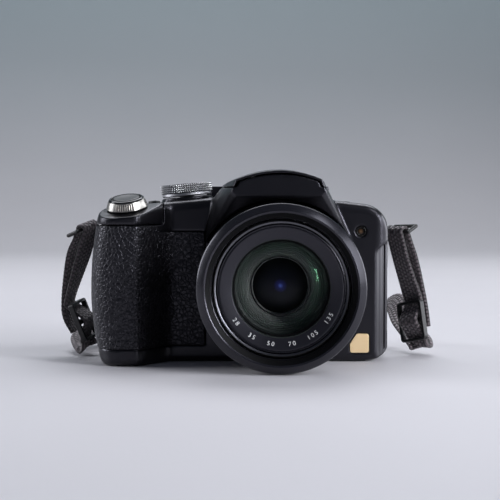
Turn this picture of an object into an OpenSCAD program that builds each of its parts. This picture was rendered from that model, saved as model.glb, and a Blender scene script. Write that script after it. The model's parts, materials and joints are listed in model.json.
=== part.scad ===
// Bridge camera: a moulded case with a deep rubber-faced grip, a telescoping zoom lens
// inside a wide front ring, a pop-up flash in the hump, an electronic finder, a back full
// of keys, and a webbing neck strap with its wide band folded behind the case.
// Millimetres. X is to the right seen from the front, Y backwards, Z up.
// The origin is the mouth of the tripod socket, straight below the lens axis.

/* [Case] */
// Lens axis to the right-hand side
body_right = 43.3; // [41:0.1:47]
// Lens axis to the outermost point of the grip
body_left = 73; // [71:0.1:77]
// Front panel ahead of the tripod socket
body_front = 16; // [15:0.1:18]
// Back panel behind the tripod socket
body_back = 17; // [16.5:0.1:19]
// Height of the shoulder right of the hump
shoulder_z = 63.4; // [62:0.1:65]
// Height of the top plate at its left end
pod_z = 60.4; // [59.5:0.1:61.5]
// Lean of the top plate and the dial to the left, degrees
pod_lean = 5.3; // [4:0.1:6]
// Fall of the top plate right of the hump, degrees
right_lean = 6.5; // [4:0.1:8]
// Wall thickness of the covers
wall = 1.6; // [1.3:0.1:1.8]
// Radius of the long upper edges of the case
edge_r = 3.5; // [2.5:0.1:4]
// Radius of the long lower edges of the case
foot_r = 2; // [1.5:0.1:2.5]
// Height where the top cover meets the other covers
split_z = 54; // [53:0.1:55]
// Plane between the front and the back cover
split_y = -4; // [-5:0.1:-3]
// Running gap between moving pieces
gap = 0.3; // [0.25:0.01:0.4]

/* [Grip] */
// Grip front ahead of the tripod socket
grip_front = 33; // [31:0.1:35]
// Radius of the outer corner of the grip
grip_corner = 11; // [9:0.1:12]
// Width of the grip front with its outer corner
grip_wide = 17; // [15:0.1:19]
// Width of the curve from the grip front to the panel
grip_run = 15; // [12:0.1:16]
// Height of the widest point of the grip
grip_mid = 28; // [24:0.5:32]
// Thickness of the grip rubber
rubber_t = 1.2; // [0.9:0.1:1.3]
// Lower edge of the grip rubber
rubber_low = 6.3; // [5:0.1:8]

/* [Hump] */
// Height of the hump above the recess round the lens ring
hump_rise = 11.4; // [10.6:0.1:12.2]
// Brow of the hump ahead of the tripod socket
hump_front = 42; // [40:0.1:44]
// Thickness of the flash lid
lid_t = 1.2; // [1:0.1:1.3]
// Opening angle of the flash, degrees
flash_swing = 45; // [30:1:48]

/* [Lens] */
// Gap between the front ring and the table
ring_lift = 0.05; // [0.05:0.05:0.5]
// Width of the front ring outside its thread
ring_lip = 5.1; // [4.7:0.05:5.4]
// Front edge of the ring ahead of the tripod socket
ring_front = 61; // [59:0.1:63]
// Radius of the accessory thread in the front ring
thread_r = 26; // [25.9:0.05:26.2]
// Depth of the accessory thread
thread_deep = 2.4; // [2:0.1:2.8]
// Forward travel of each zoom tube
zoom_step = 18; // [12:0.5:20]
// Width of the inner tube and the name ring round the front lens
lens_rim = 5.7; // [5.4:0.1:6.4]
// Teeth round the whole cam ring
cam_teeth = 90;
// Teeth of the zoom gear
drive_teeth = 18;

/* [Top controls] */
// Mode dial centre left of the lens axis
dial_x = 36.7; // [36:0.1:38]
// Radius of the mode dial
dial_r = 10.5; // [9:0.1:10.7]
// Shutter centre inside the outermost point of the grip
shutter_in = 14; // [13.5:0.1:15.5]
// Shutter centre ahead of the tripod socket
shutter_y = 21; // [20:0.1:22]
// Lean of the shutter pod to the front, degrees
pod_pitch = 15; // [12:0.5:18]
// Lower radius of the zoom lever
lever_r = 8.1; // [7.6:0.1:8.3]
// Press travel of the shutter button
shutter_press = 1.2; // [0.6:0.1:1.4]

/* [Back controls] */
// Width of the display window
lcd_w = 56; // [50:0.5:57]
// Height of the display window
lcd_h = 43; // [40:0.5:44]
// Display centre right of the lens axis
lcd_x = 10; // [9:0.5:11]
// Display centre height
lcd_z = 28; // [27:0.5:29]
// Press travel of the keys
key_press = 0.5; // [0.3:0.1:0.7]
// How far the keys stand out of the back
key_proud = 0.7; // [0.6:0.1:1]

/* [Strap] */
// Width of the webbing
web_w = 10; // [9.5:0.1:10.4]
// Thickness of the webbing
web_t = 1.4; // [1:0.1:1.5]
// Width of the neck band
band_w = 35; // [30:0.5:38]
// Thickness of the neck band
band_t = 2; // [1.5:0.1:2.2]
// Height step between the folds of the band
band_step = 3.2; // [3:0.1:3.6]
// Length of each fold of the band
band_run = 106; // [90:1:110]

/* [Hidden] */

// Tiny step that keeps the outermost section from closing to a line
tip = 0.04;
// Points on each rounded corner of a section, and along its upright sides
arc_n = 4;
side_n = 6;
front_corner = 5;
back_corner = 6;
left_corner = 3.2;
right_cut_w = 11;
right_cut_h = 5.4;
top_corner = 9.4;
hump_x0 = -26;
hump_x1 = 20;
bulge_up = 0.0031;
bulge_low = 0.0053;
bulge_run = 24;
pod_right = -body_left + 27.6;
rubber_back = 1.1;

grip_flat = body_left - grip_wide;
grip_end = grip_flat - grip_run;
tube_clear = 0.25;
tube_r = thread_r - 0.8;
ring_r = thread_r + ring_lip;
lens_z = ring_r + ring_lift;
cam_in = tube_r + tube_clear;
cam_out = cam_in + 1;
barrel_in = cam_out + tube_clear;
barrel_r = barrel_in + 1.8;
tube_wall = 1.2;
inner_r = tube_r - tube_wall - 0.5;
inner_wall = 1.7;
glass_r = inner_r - lens_rim;
tube_front = ring_front - 3.4;
recess_r = ring_r + 1.45;
hump_z = lens_z + recess_r + hump_rise;
lid_z = hump_z - 6.8;
gear_m = 2 * (cam_out + 0.55) / cam_teeth;
cam_pitch_r = gear_m * cam_teeth / 2;
cam_back = 5.8;
drive_pitch_r = gear_m * drive_teeth / 2;
drive_turn = 150;
drive_d = cam_pitch_r + drive_pitch_r;
drive_x = drive_d * cos(drive_turn);
drive_z = lens_z + drive_d * sin(drive_turn);
cam_swing = 90;

hinge_y = -1;
hinge_z = hump_z - 2.3;
knuckle_r = 1.2;
knuckle_w = 12;
lid_back = -2.4;
pin_fit = 0.06;
flash_low = hump_z - 7.2;
flash_h = 3.6;

shutter_at = [shutter_in - body_left, -shutter_y, pod_z - 0.4];
dial_at = [-dial_x, 2, pod_z + (body_left - 5 - dial_x) * tan(pod_lean)];
dial_seat = 1.4;

base_left = body_left - 6.2;
base_right = body_right - 8.7;
base_t = 2;
door_hinge_x = -body_left + 27.4;
door_hinge_z = 1;
latch_x = -body_left + 11;
latch_travel = 2.4;
tripod_r = 2.6;
tripod_deep = 4.6;
bush_top = tripod_deep + 0.4;
screw_r = 0.8;
screw_right = body_right - 13.3;
screw_left = -body_left + 35;
screw_at = [[screw_right, -11], [screw_left, -11], [screw_right, 11], [screw_left, 11]];

battery_x = -body_left + 15;
battery_w = 16;
battery_d = 31;
battery_h = 41;

keys_x = -32;
keys_z = 24;
key_ring = 8.4;
key_r = 2.5;
set_r = 3.6;
joy_at = [-37, 42];
joy_y = 12.6;
play_at = [-body_left + 23, 48.5];
finder_key_at = [-23.5, 50];
display_at = [-25.5, 10];
delete_at = [-38.5, 10];
side_key_r = 2.3;
key_flange = 0.8;
play_travel = 3;
terminal_z = 24;
terminal_h = 24;
terminal_y0 = -8.2;
terminal_y1 = -0.4;
terminal_t = 1.4;
finder_z = hump_z - 13.5;
dioptre_at = [17.9, 12.2, finder_z - 1];
dioptre_r = 4;
lamp_at = [body_right - 11.2, 51.1];
lamp_r = 2.05;
burst_at = [-body_left + 24, -8];
focus_at = [-body_left + 22.5, 1.5];
flash_key_at = [27.5, 6];
top_key_r = 2;

web_gap = 0.35;
ring_wire = 0.8;
buckle_w = web_w + 3.4;
buckle_l = 16.4;
buckle_t = 2.2;

function span(a, b, t) = a + (b - a) * t;
function unit(t) = min(1, max(0, t));
function quarter(t) = sqrt(max(0, 1 - pow(1 - unit(t), 2)));
function dir(v) = v / norm(v);

// Plan and elevation of the case along X
function front_y(x) =
    x < -body_left + grip_corner
        ? -grip_front + grip_corner * (1 - quarter((x + body_left) / grip_corner))
    : x < -grip_flat ? -grip_front
    : x < -grip_end
        ? -body_front - (grip_front - body_front)
            * (0.5 + 0.5 * cos(180 * (x + grip_flat) / (grip_flat - grip_end)))
    : -body_front + front_corner * (1 - quarter((body_right - x) / front_corner));
function back_y(x) = body_back
    - back_corner * (1 - quarter((x + body_left) / back_corner))
    - back_corner * (1 - quarter((body_right - x) / back_corner));
function pod_line(x) = pod_z + (x + body_left - 5) * tan(pod_lean);
function top_z(x) =
    x < hump_x0 ? pod_line(x) - left_corner * (1 - quarter((x + body_left) / left_corner))
    : x < hump_x1 ? span(pod_line(hump_x0), shoulder_z, (x - hump_x0) / (hump_x1 - hump_x0))
    : shoulder_z - (x - hump_x1) * tan(right_lean)
        - top_corner * (1 - quarter((body_right - x) / top_corner));
function low_z(x) =
    x < 0 ? left_corner * 0.6 * (1 - quarter((x + body_left) / left_corner))
    : right_cut_h * (1 - quarter((body_right - x) / right_cut_w));

// The left side of the grip swells towards its middle height
function swell(x, z) =
    (z > grip_mid ? bulge_up : bulge_low) * pow(z - grip_mid, 2)
    * pow(1 - unit((x + body_left) / bulge_run), 2);

function corner(cy, cz, r, a0, a1) =
    [for (k = [0:arc_n])
        let (a = span(a0, a1, k / arc_n)) [cy + r * cos(a), cz + r * sin(a)]];
function chain(edge, inward, lo, hi, rt, rb) = concat(
    corner(edge + inward * rt, hi - rt, rt, 90, inward > 0 ? 180 : 0),
    [for (k = [1:side_n]) [edge, span(hi - rt, lo + rb, k / (side_n + 1))]],
    corner(edge + inward * rb, lo + rb, rb, inward > 0 ? 180 : 0, inward > 0 ? 270 : -90));
function section(x, i) =
    let (f = front_y(x) + i, b = back_y(x) - i, lo = low_z(x) + i, hi = top_z(x) - i,
         rt = max(0.5, edge_r - i), rb = max(0.5, foot_r - i))
    concat(chain(f, 1, lo, hi, rt, rb), chain(b, -1, lo, hi, rt, rb));

stations = concat(
    [for (k = [0:9]) -body_left + tip + (grip_corner - tip) * (1 - cos(10 * k))],
    [for (k = [0:10]) span(-grip_flat, -grip_end, k / 10)],
    [hump_x0, 0, hump_x1],
    [for (k = [0:9]) body_right - top_corner * (1 - sin(10 * k))]);
chain_n = 2 * (arc_n + 1) + side_n;

// Closed skin of the case without the hump, its surface moved in by i
module skin(i) {
    body_w = body_left + body_right;
    ring_n = 2 * chain_n;
    last = len(stations) - 1;
    points = [for (x = stations)
        let (xi = -body_left + i + (x + body_left) * (body_w - 2 * i) / body_w)
        for (p = section(xi, i)) [xi + swell(xi, p[1]), p[0], p[1]]];
    front = [for (s = [0:last - 1]) for (k = [0:chain_n - 2])
        let (a = s * ring_n + k) [a, a + ring_n, a + ring_n + 1, a + 1]];
    back = [for (s = [0:last - 1]) for (k = [0:chain_n - 2])
        let (a = s * ring_n + chain_n + k) [a, a + 1, a + ring_n + 1, a + ring_n]];
    top = [for (s = [0:last - 1])
        let (a = s * ring_n) [a, a + chain_n, a + ring_n + chain_n, a + ring_n]];
    bottom = [for (s = [0:last - 1])
        let (a = s * ring_n + chain_n - 1)
        [a, a + ring_n, a + ring_n + chain_n, a + chain_n]];
    left = [for (k = [0:chain_n - 2]) [k, k + 1, k + 1 + chain_n, k + chain_n]];
    right = [for (k = [0:chain_n - 2])
        let (a = last * ring_n + k) [a, a + chain_n, a + chain_n + 1, a + 1]];
    quads = concat(front, back, top, bottom, left, right);
    faces = [for (q = quads) for (t = [[q[0], q[1], q[2]], [q[0], q[2], q[3]]]) t];
    polyhedron(points = points, faces = faces, convexity = 6);
}

// One cross-section of the hump at depth y: a bowed crown with sloping flanks
module hump_plate(y, wl, wr, crown, drop, flank, i) {
    bow = [for (k = [-5:5])
        let (w = k < 0 ? wl : wr) [w * k / 5, crown - drop * pow(k / 5, 2)]];
    outline = concat([flank[0], flank[1]], bow, [flank[2], flank[3]]);
    mid = [0, hump_z - 16.4];
    points = [for (p = outline) let (q = p - i * dir(p - mid)) [q[0], y, q[1]]];
    polyhedron(points = points, faces = [[for (k = [0:len(points) - 1]) k]]);
}

module brow_plate(i, ahead) hump_plate(-hump_front - ahead, 16.5, 15.5, hump_z - 0.6, 3.3,
    [[-16.6, hump_z - 10.5], [-18.4, hump_z - 8.6], [17.2, hump_z - 8.6], [15.6, hump_z - 10.5]], i);
module crest_plate(i) hump_plate(-30, 20, 17, hump_z, 5,
    [[-22, hump_z - 17.4], [-23.5, hump_z - 11.4], [20, hump_z - 11.4], [21, hump_z - 17.4]], i);
module panel_plate(i) hump_plate(-body_front, 21.8, 17.6, hump_z, 5.8,
    [[-30, hump_z - 29.4], [-26, hump_z - 11.4], [21, hump_z - 11.4], [29, hump_z - 29.4]], i);
module saddle_plate(i) hump_plate(2, 22.5, 18, hump_z - 1.1, 5.4,
    [[-28, hump_z - 17.4], [-27, hump_z - 12.4], [22, hump_z - 12.4], [23, hump_z - 17.4]], i);
module finder_plate(i) hump_plate(body_back - i, 19, 18, hump_z - 4.6, 2.6,
    [[-20, hump_z - 18.4], [-20, hump_z - 13.4], [19, hump_z - 13.4], [19, hump_z - 18.4]], i);

// Hump with its surface moved in by i and its brow moved ahead
module hump(i, ahead) {
    hull() {
        brow_plate(i, ahead);
        crest_plate(i);
        panel_plate(i);
    }
    hull() {
        crest_plate(i);
        panel_plate(i);
        saddle_plate(i);
    }
    hull() {
        saddle_plate(i);
        finder_plate(i);
    }
    // Square shoulder block of the finder, left of the crown
    hull() {
        for (x = [-29.4 + i + 1, 20 - i])
            translate([x, 11 + i, split_z + 2])
                cylinder(r = 1, h = hump_z - 6.1 - i - split_z - 2);
        for (x = [-28 + i + 1, 20 - i])
            translate([x, body_back - i - 1, split_z + 2])
                cylinder(r = 1, h = hump_z - 7.4 - i - split_z - 2);
    }
}

// Turns local Z into the lens axis, pointing ahead
module on_lens() {
    translate([0, 0, lens_z])
        rotate([90, 0, 0])
            children();
}

module on_shutter() {
    translate(shutter_at)
        rotate([pod_pitch, -pod_lean, 0])
            children();
}

module on_dial() {
    translate(dial_at)
        rotate([0, -pod_lean, 0])
            children();
}

// Round recess between the lens barrel and the brow
module brow_recess(i) {
    on_lens()
        translate([0, 0, body_front - i])
            cylinder(r = recess_r + i, h = 40, $fn = 90);
}

// Plane that slopes the shutter pod to the front
module pod_slope(i) {
    intersection() {
        on_shutter()
            translate([-40, -40, -i])
                cube([80, 80, 20]);
        translate([-100, -60, 40])
            cube([100 + pod_right - 1 - i, 60, 40]);
    }
}

// Flat facet down the right front edge, round at its upper end
module side_facet(i) {
    translate([body_right - 5.3 - i, -body_front - i, 0])
        rotate([0, 0, 54])
            hull() {
                translate([-8, -12, -10])
                    cube([30, 12, 46]);
                translate([7, 0, 40])
                    rotate([90, 0, 0])
                        cylinder(r = 7, h = 12, $fn = 40);
            }
}

// Whole outer form, moved in by i
module form(i) {
    difference() {
        union() {
            skin(i);
            difference() {
                hump(i, -i);
                brow_recess(i);
            }
        }
        pod_slope(i);
        side_facet(i);
    }
}

module shell() {
    difference() {
        form(0);
        form(wall);
    }
}

module region_top(c) {
    translate([-100, split_y + c, split_z + c])
        cube([200, 60, 40]);
    translate([-100, -60, split_z + c])
        cube([100 + pod_right - c, 100, 40]);
}

// Room of the flash lid, c larger all round
module lid_room(c) {
    translate([-30, -60, lid_z - c])
        cube([60, 60 + lid_back + c, 20]);
    translate([-knuckle_w / 2 - c, lid_back - 1, lid_z - c])
        cube([knuckle_w + 2 * c, hinge_y - lid_back + 1, 20]);
    translate([-knuckle_w / 2 - c, hinge_y, hinge_z])
        rotate([0, 90, 0])
            cylinder(r = knuckle_r + c, h = knuckle_w + 2 * c, $fn = 40);
}

module base_outline(i) {
    left = [for (k = [0:8]) -base_left + i + 12 * (1 - cos(90 * k / 8))];
    right = [for (k = [0:4]) span(-grip_end + 1, base_right - i, k / 4)];
    bend = [for (k = [1:9]) span(-grip_flat + 1, -grip_end + 1, k / 10)];
    xs = concat(left, bend, right);
    inset = foot_r + i;
    polygon(concat(
        [for (x = xs) [x, front_y(x + span(-5, 2, unit((x + base_left) / 9))) + inset]],
        [for (k = [len(xs) - 1:-1:0]) [xs[k], back_y(xs[k] - 4) - inset]]));
}

module base_room() {
    translate([0, 0, -5])
        linear_extrude(5 + base_t + 0.15)
            base_outline(-0.2);
}

// Locating pegs behind the grip rubber, c larger all round
module rubber_pegs(c) {
    for (z = [14, 46])
        for (x = [13 - body_left, 16 - body_left, -barrel_r - 10, -barrel_r - 6.5])
            hull()
                for (s = [-1.5, 1.5])
                    translate([x, front_y(x) + rubber_t - 0.4, z + s])
                        rotate([-90, 0, 0])
                            cylinder(r = 0.7 + c, h = 1.4 + c, $fn = 16);
}

// Part of the case front that the rubber covers, c larger all round
module rubber_zone(c) {
    translate([-body_left - 17, -60, rubber_low - c])
        cube([43 + c, 60 + split_y + c, split_z - gap - rubber_low + 2 * c]);
    translate([-body_left + 23, -60, rubber_low - c])
        cube([body_left - 23 - barrel_r - 0.5 + c, 60 - 10, split_z - 3 - rubber_low + 2 * c]);
}

module screw_post(p, top, toward) {
    difference() {
        union() {
            translate([p[0], p[1], base_t + gap])
                cylinder(r = 2.1, h = top, $fn = 24);
            for (a = [-35, 35])
                hull() {
                    translate([p[0], p[1], base_t + gap])
                        cylinder(r = 0.6, h = top, $fn = 12);
                    translate([p[0], p[1], base_t + gap])
                        rotate([0, 0, a])
                            translate([0, toward * 5.2, 0])
                                cylinder(r = 0.6, h = 2, $fn = 12);
                }
        }
        translate([p[0], p[1], 0])
            cylinder(r = screw_r + 0.1, h = 20, $fn = 24);
    }
}

module front_cover() color([0.06, 0.06, 0.07]) {
    terminal_stubs();
    front_shell();
}

module front_shell() difference() {
    union() {
        difference() {
            shell();
            lid_room(gap);
            region_top(-0.1);
            translate([-100, split_y, -10])
                cube([200, 60, 120]);
            difference() {
                intersection() {
                    rubber_zone(0.1);
                    form(-0.5);
                }
                form(rubber_t + 0.05);
            }
        }
        // Rim inside the flash lid
        intersection() {
            difference() {
                hump(lid_t + gap, 0);
                hump(lid_t + gap + wall, -wall);
                translate([-15, -40, 50])
                    cube([28.6, 60, 40]);
                brow_recess(0);
            }
            translate([-40, -60, lid_z - gap - 0.4])
                cube([80, 60 + split_y, 20]);
        }
        // Wall behind the rubber
        intersection() {
            difference() {
                form(rubber_t + 0.05);
                form(rubber_t + rubber_back);
            }
            rubber_zone(1);
            translate([-100, -60, -10])
                cube([200, 60 + split_y, 10 + split_z - 0.1]);
        }
        intersection() {
            form(wall / 2);
            for (k = [0, 1])
                screw_post(screw_at[k], 7, -1);
        }
    }
    on_lens()
        cylinder(r = barrel_r + gap, h = 30, $fn = 90);
    base_room();
    dial_collar(0.1);
    rubber_pegs(0.15);
    translate([lamp_at[0], -body_front - 1, lamp_at[1]])
        rotate([-90, 0, 0])
            cylinder(r = lamp_r + 0.1, h = 8, $fn = 32);
    translate([0, 0, -0.8])
        badge_blank(0.12);
    terminal_room();
}

module badge_blank(c) {
    translate([0, -body_front - 1, 0])
        rotate([-90, 0, 0])
            mirror([0, 1, 0])
                linear_extrude(1.8 + c)
                    offset(r = 0.9 + c, $fn = 24)
                        offset(delta = -0.9)
                            translate([body_right - 15.4, 4.2])
                                polygon([[0, 0], [7.4, 0], [7.4, 7.5], [2.6, 7.5], [0, 3.5]]);
}

module badge_plate() color([0.75, 0.6, 0.28]) difference() {
    translate([0, 0, -0.8])
        badge_blank(0);
    translate([20, -body_front - 2, 0])
        cube([30, 1.8, 30]);
}

module rear_cover() color([0.06, 0.06, 0.07]) difference() {
    union() {
        intersection() {
            shell();
            translate([-100, split_y + 0.1, -10])
                cube([200, 60, 10 + split_z - 0.1]);
        }
        intersection() {
            form(wall / 2);
            union() {
                for (k = [2, 3])
                    screw_post(screw_at[k], 4, 1);
                for (x = [-body_left + 7, body_right - 2.9])
                    hull() {
                        translate([x, 13, 40])
                            cylinder(r = 1.6, h = 12, $fn = 20);
                        translate([x, 17, 34])
                            cylinder(r = 1.6, h = 12, $fn = 20);
                    }
                for (s = [-1, 1])
                    translate([joy_at[0] + s * 5.4 - 0.6, joy_y - 1.2, joy_at[1] - 1.2])
                        cube([1.2, 6, 2.4]);
                for (x = [-body_left + 10, -body_left + 13])
                    hull() {
                        translate([x, 14.4, 40])
                            cylinder(r = 0.6, h = 12, $fn = 12);
                        translate([x, 17, 36])
                            cylinder(r = 0.6, h = 12, $fn = 12);
                    }
            }
        }
    }
    base_room();
    // Display window and key openings
    translate([lcd_x - lcd_w / 2 - 0.15, body_back - 1.1, lcd_z - lcd_h / 2 - 0.15])
        cube([lcd_w + 0.3, 5, lcd_h + 0.3]);
    translate([lcd_x - 26, 10, lcd_z - 19.6])
        cube([52, 10, 39.2]);
    for (a = [0, 90, 180, 270])
        key_hole([keys_x + key_ring * cos(a), keys_z + key_ring * sin(a)], key_r);
    key_hole([keys_x, keys_z], set_r);
    for (p = [finder_key_at, display_at, delete_at])
        key_hole(p, side_key_r);
    key_hole(joy_at, 3.4);
    translate([joy_at[0], joy_y, joy_at[1]])
        rotate([0, 90, 0])
            cylinder(r = 0.4 + pin_fit, h = 14, center = true, $fn = 20);
    translate([play_at[0] - 4, 10, play_at[1] - 1.4])
        cube([8 , 10, 2.8]);
    for (s = [lug_right, lug_left])
        translate(s)
            rotate([0, 90, 0])
                cylinder(r = 1.3, h = 12, center = true, $fn = 24);
    terminal_room();
}

module key_hole(p, r) {
    translate([p[0], 8, p[1]])
        rotate([-90, 0, 0])
            cylinder(r = r + 0.2, h = 14, $fn = 32);
}

module dial_collar(c) {
    on_dial()
        translate([0, 0, -wall - c])
            cylinder(r = dial_r - 0.4 + c, h = wall + dial_seat + 2 * c, $fn = 64);
}

module top_cover() color([0.06, 0.06, 0.07]) difference() {
    union() {
        intersection() {
            shell();
            region_top(0);
        }
        // Collars under the dial and the zoom lever
        dial_collar(0);
        intersection() {
            on_shutter()
                translate([0, 0, -2])
                    cylinder(r = lever_r + 0.3, h = 2.2, $fn = 64);
            translate([-100, -60, 50])
                cube([100, 100, 30]);
        }
    }
    lid_room(gap);
    on_dial()
        translate([0, 0, -8])
            cylinder(r = 3 + pin_fit, h = 20, $fn = 40);
    on_shutter()
        translate([0, 0, -8])
            cylinder(r = 4.6, h = 20, $fn = 40);
    for (p = [burst_at, focus_at, flash_key_at])
        translate([p[0], p[1], split_z])
            cylinder(r = top_key_r + gap, h = 30, $fn = 32);
    on_power(0)
        translate([-5, -1.7, -6])
            cube([10, 3.4, 20]);
    // Finder opening, dioptre slot and hinge pin
    translate([0, 0, finder_z])
        rotate([-90, 0, 0])
            linear_extrude(40)
                offset(r = 3, $fn = 32)
                    square([13, 7], center = true);
    translate([dioptre_at[0] - dioptre_r, dioptre_at[1] - gap, dioptre_at[2] - dioptre_r - gap])
        cube([14, 2.8 + 2 * gap, 2 * (dioptre_r + gap)]);
    translate([dioptre_at[0], dioptre_at[1], dioptre_at[2]])
        rotate([-90, 0, 0])
            cylinder(r = 1 + pin_fit, h = body_back - 0.3 - dioptre_at[1], $fn = 24);
    translate([-7.2, hinge_y, hinge_z])
        rotate([0, 90, 0])
            cylinder(r = 0.5 + pin_fit, h = 14.4, $fn = 24);
}

module on_power(shift) {
    translate([-body_left + 12 + shift, 5, pod_line(-body_left + 12)])
        rotate([0, -pod_lean, 0])
            children();
}

module base_plate() color([0.08, 0.08, 0.09]) difference() {
    union() {
        linear_extrude(base_t)
            base_outline(0);
        translate([0, 0, base_t - 0.5])
            cylinder(r = 6, h = bush_top - 1.25 - base_t + 0.5, $fn = 48);
    }
    translate([0, 0, -1])
        cylinder(r = 4.2, h = 12, $fn = 48);
    difference() {
        translate([-90, -40, -1])
            cube([90 + door_hinge_x + 1.7, 80, 10]);
        door_lugs(0);
    }
    translate([door_hinge_x, -30, door_hinge_z])
        rotate([-90, 0, 0])
            cylinder(r = 0.5 + 0.02, h = 60, $fn = 24);
    for (p = screw_at)
        translate([p[0], p[1], -1]) {
            cylinder(r = screw_r + 0.15, h = 10, $fn = 24);
            cylinder(r = 1.75, h = 2, $fn = 24);
        }
}

// Lugs on the base plate that hold the hinge pin of the battery door, c larger all round
module door_lugs(c) {
    for (y = [-12.8, 11.4])
        translate([door_hinge_x, y - c, door_hinge_z]) {
            rotate([-90, 0, 0])
                cylinder(r = 0.9 + c, h = 2 + 2 * c, $fn = 24);
            translate([0, 0, -0.7 - c])
                cube([3, 2 + 2 * c, 1.4 + 2 * c]);
        }
}

module battery_door() color([0.08, 0.08, 0.09]) difference() {
    union() {
        intersection() {
            linear_extrude(base_t)
                base_outline(0.1);
            translate([-90, -60, -1])
                cube([90 + door_hinge_x - 0.9, 120, 10]);
        }
        for (y = [-10, 4])
            translate([door_hinge_x, y, door_hinge_z])
                rotate([-90, 0, 0])
                    cylinder(r = 1, h = 7, $fn = 24);
        for (y = [-10, 4])
            translate([door_hinge_x - 1.4, y, 0.2])
                cube([1.4, 7, 1.6]);
    }
    translate([door_hinge_x, -30, door_hinge_z])
        rotate([-90, 0, 0])
            cylinder(r = 0.5 + pin_fit, h = 60, $fn = 24);
    door_lugs(gap);
    // Front corner at the hinge, cut back so that it swings clear of the front cover
    translate([door_hinge_x - 1.6, -60, -1])
        cube([10, 60 + front_y(door_hinge_x + 3.7) + foot_r + gap, 10]);
    translate([latch_x - 2.2, -7.2 - latch_travel / 2, -1])
        cube([4.4, 8.4 + latch_travel, 1.9]);
}

module door_latch() color([0.12, 0.12, 0.13])
    translate([latch_x - 1.9, -6.9 - latch_travel / 2, 0.05])
        difference() {
            cube([3.8, 7.8, 0.6]);
            for (k = [0:4])
                translate([0.5, 1.3 + 1.2 * k, -0.1])
                    cube([2.8, 0.5, 0.3]);
        }

module tripod_bush() color([0.72, 0.72, 0.74]) difference() {
    union() {
        cylinder(r = 4.1, h = bush_top, $fn = 48);
        translate([0, 0, bush_top - 1.2])
            cylinder(r = 5.4, h = 1.2, $fn = 48);
    }
    translate([0, 0, -1])
        cylinder(r = tripod_r, h = 1 + tripod_deep, $fn = 48);
}

module fasteners() color([0.75, 0.75, 0.77]) {
    for (p = screw_at)
        translate([p[0], p[1], 0.1])
            difference() {
                union() {
                    cylinder(r = 1.6, h = 0.8, $fn = 24);
                    cylinder(r = screw_r, h = 6, $fn = 24);
                }
                for (a = [0, 90])
                    rotate([0, 0, a])
                        translate([-0.9, -0.17, -1])
                            cube([1.8, 0.34, 1.4]);
            }
    // Hinge pins of the battery door and the flash
    translate([door_hinge_x, -13, door_hinge_z])
        rotate([-90, 0, 0])
            cylinder(r = 0.5, h = 27, $fn = 24);
    translate([-7.1, hinge_y, hinge_z])
        rotate([0, 90, 0])
            cylinder(r = 0.5, h = 14.2, $fn = 24);
}

module grip_rubber() color([0.1, 0.09, 0.09]) {
    intersection() {
        difference() {
            form(0);
            form(rubber_t);
        }
        rubber_zone(0);
    }
    intersection() {
        rubber_pegs(0);
        form(0.6);
        translate([-100, -60, 0])
            cube([100, 60 + split_y, split_z]);
    }
}

module af_lamp() color([0.85, 0.45, 0.15])
    translate([lamp_at[0], -body_front + 0.5, lamp_at[1]])
        rotate([-90, 0, 0])
            rotate_extrude($fn = 40)
                polygon([
                    [0, 0.2], [lamp_r - 0.5, 0.35], [lamp_r - 0.45, -0.3], [lamp_r, -0.2], [lamp_r, 3],
                    [0, 3]]);

module front_ring() color([0.1, 0.1, 0.11]) on_lens()
    rotate_extrude($fn = 120)
        polygon([
            [thread_r, ring_front - 0.8], [thread_r, ring_front - 0.8 - thread_deep],
            [tube_r + 0.45, ring_front - 0.8 - thread_deep],
            [tube_r + 0.45, ring_front - 8], [barrel_r, ring_front - 9],
            [barrel_r + 0.02, ring_front - 12], [ring_r - 1.2, ring_front - 12],
            [ring_r, ring_front - 9.5], [ring_r, ring_front - 3],
            [ring_r - 0.5, ring_front - 1.6], [ring_r - 2.55, ring_front],
            [ring_r - 2.9, ring_front]]);

module fixed_barrel() color([0.09, 0.09, 0.1]) on_lens()
    difference() {
        union() {
            cylinder(r = barrel_r - 0.02, h = ring_front - 9.1, $fn = 120);
            cylinder(r = barrel_r + 0.7, h = body_front - rubber_t - rubber_back - gap, $fn = 120);
        }
        translate([0, 0, -1])
            cylinder(r = barrel_in, h = 80, $fn = 120);
        translate([0, 0, -1])
            cylinder(r = barrel_r + 5, h = 11, $fn = 120);
        // Flat under the flange, above the base plate
        translate([-10, base_t + gap - lens_z - 5, 9])
            cube([20, 5, 6]);
    }

// Involute flank: half angle of a tooth at radius q
function inv(a) = tan(a) * 180 / PI - a;
function half_tooth(n, r, q, slack) =
    let (base = r * cos(20))
    90 / n - slack / r * 90 / PI + inv(20) - inv(acos(min(1, base / max(q, base))));
function tooth(n, r, a, low, high, slack) =
    let (qs = [low, span(low, high, 0.3), span(low, high, 0.6), high])
    concat(
        [for (q = qs) let (h = half_tooth(n, r, q, slack)) q * [cos(a - h), sin(a - h)]],
        [for (k = [3:-1:0])
            let (q = qs[k], h = half_tooth(n, r, q, slack)) q * [cos(a + h), sin(a + h)]]);

cam_root_r = cam_pitch_r - 1.25 * gear_m;
module cam_ring() color([0.55, 0.55, 0.57]) on_lens() {
    rotate_extrude($fn = 120)
        polygon([
            [cam_in, cam_back], [cam_root_r, cam_back], [cam_root_r, cam_back + 4.6],
            [cam_out, cam_back + 4.6], [cam_out, ring_front - 13], [cam_in, ring_front - 13]]);
    // Toothed sector that the zoom gear drives
    translate([0, 0, cam_back + 0.1])
        linear_extrude(3.6)
            polygon(concat(
                [for (k = [27:-1:-1]) for (p = tooth(cam_teeth, cam_pitch_r,
                    drive_turn - k * 360 / cam_teeth,
                    cam_root_r - 0.2, cam_pitch_r + gear_m, 0.12)) p],
                [for (k = [-1:2:27]) (cam_root_r - 0.45)
                    * [cos(drive_turn - k * 360 / cam_teeth), sin(drive_turn - k * 360 / cam_teeth)]]));
}

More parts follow.
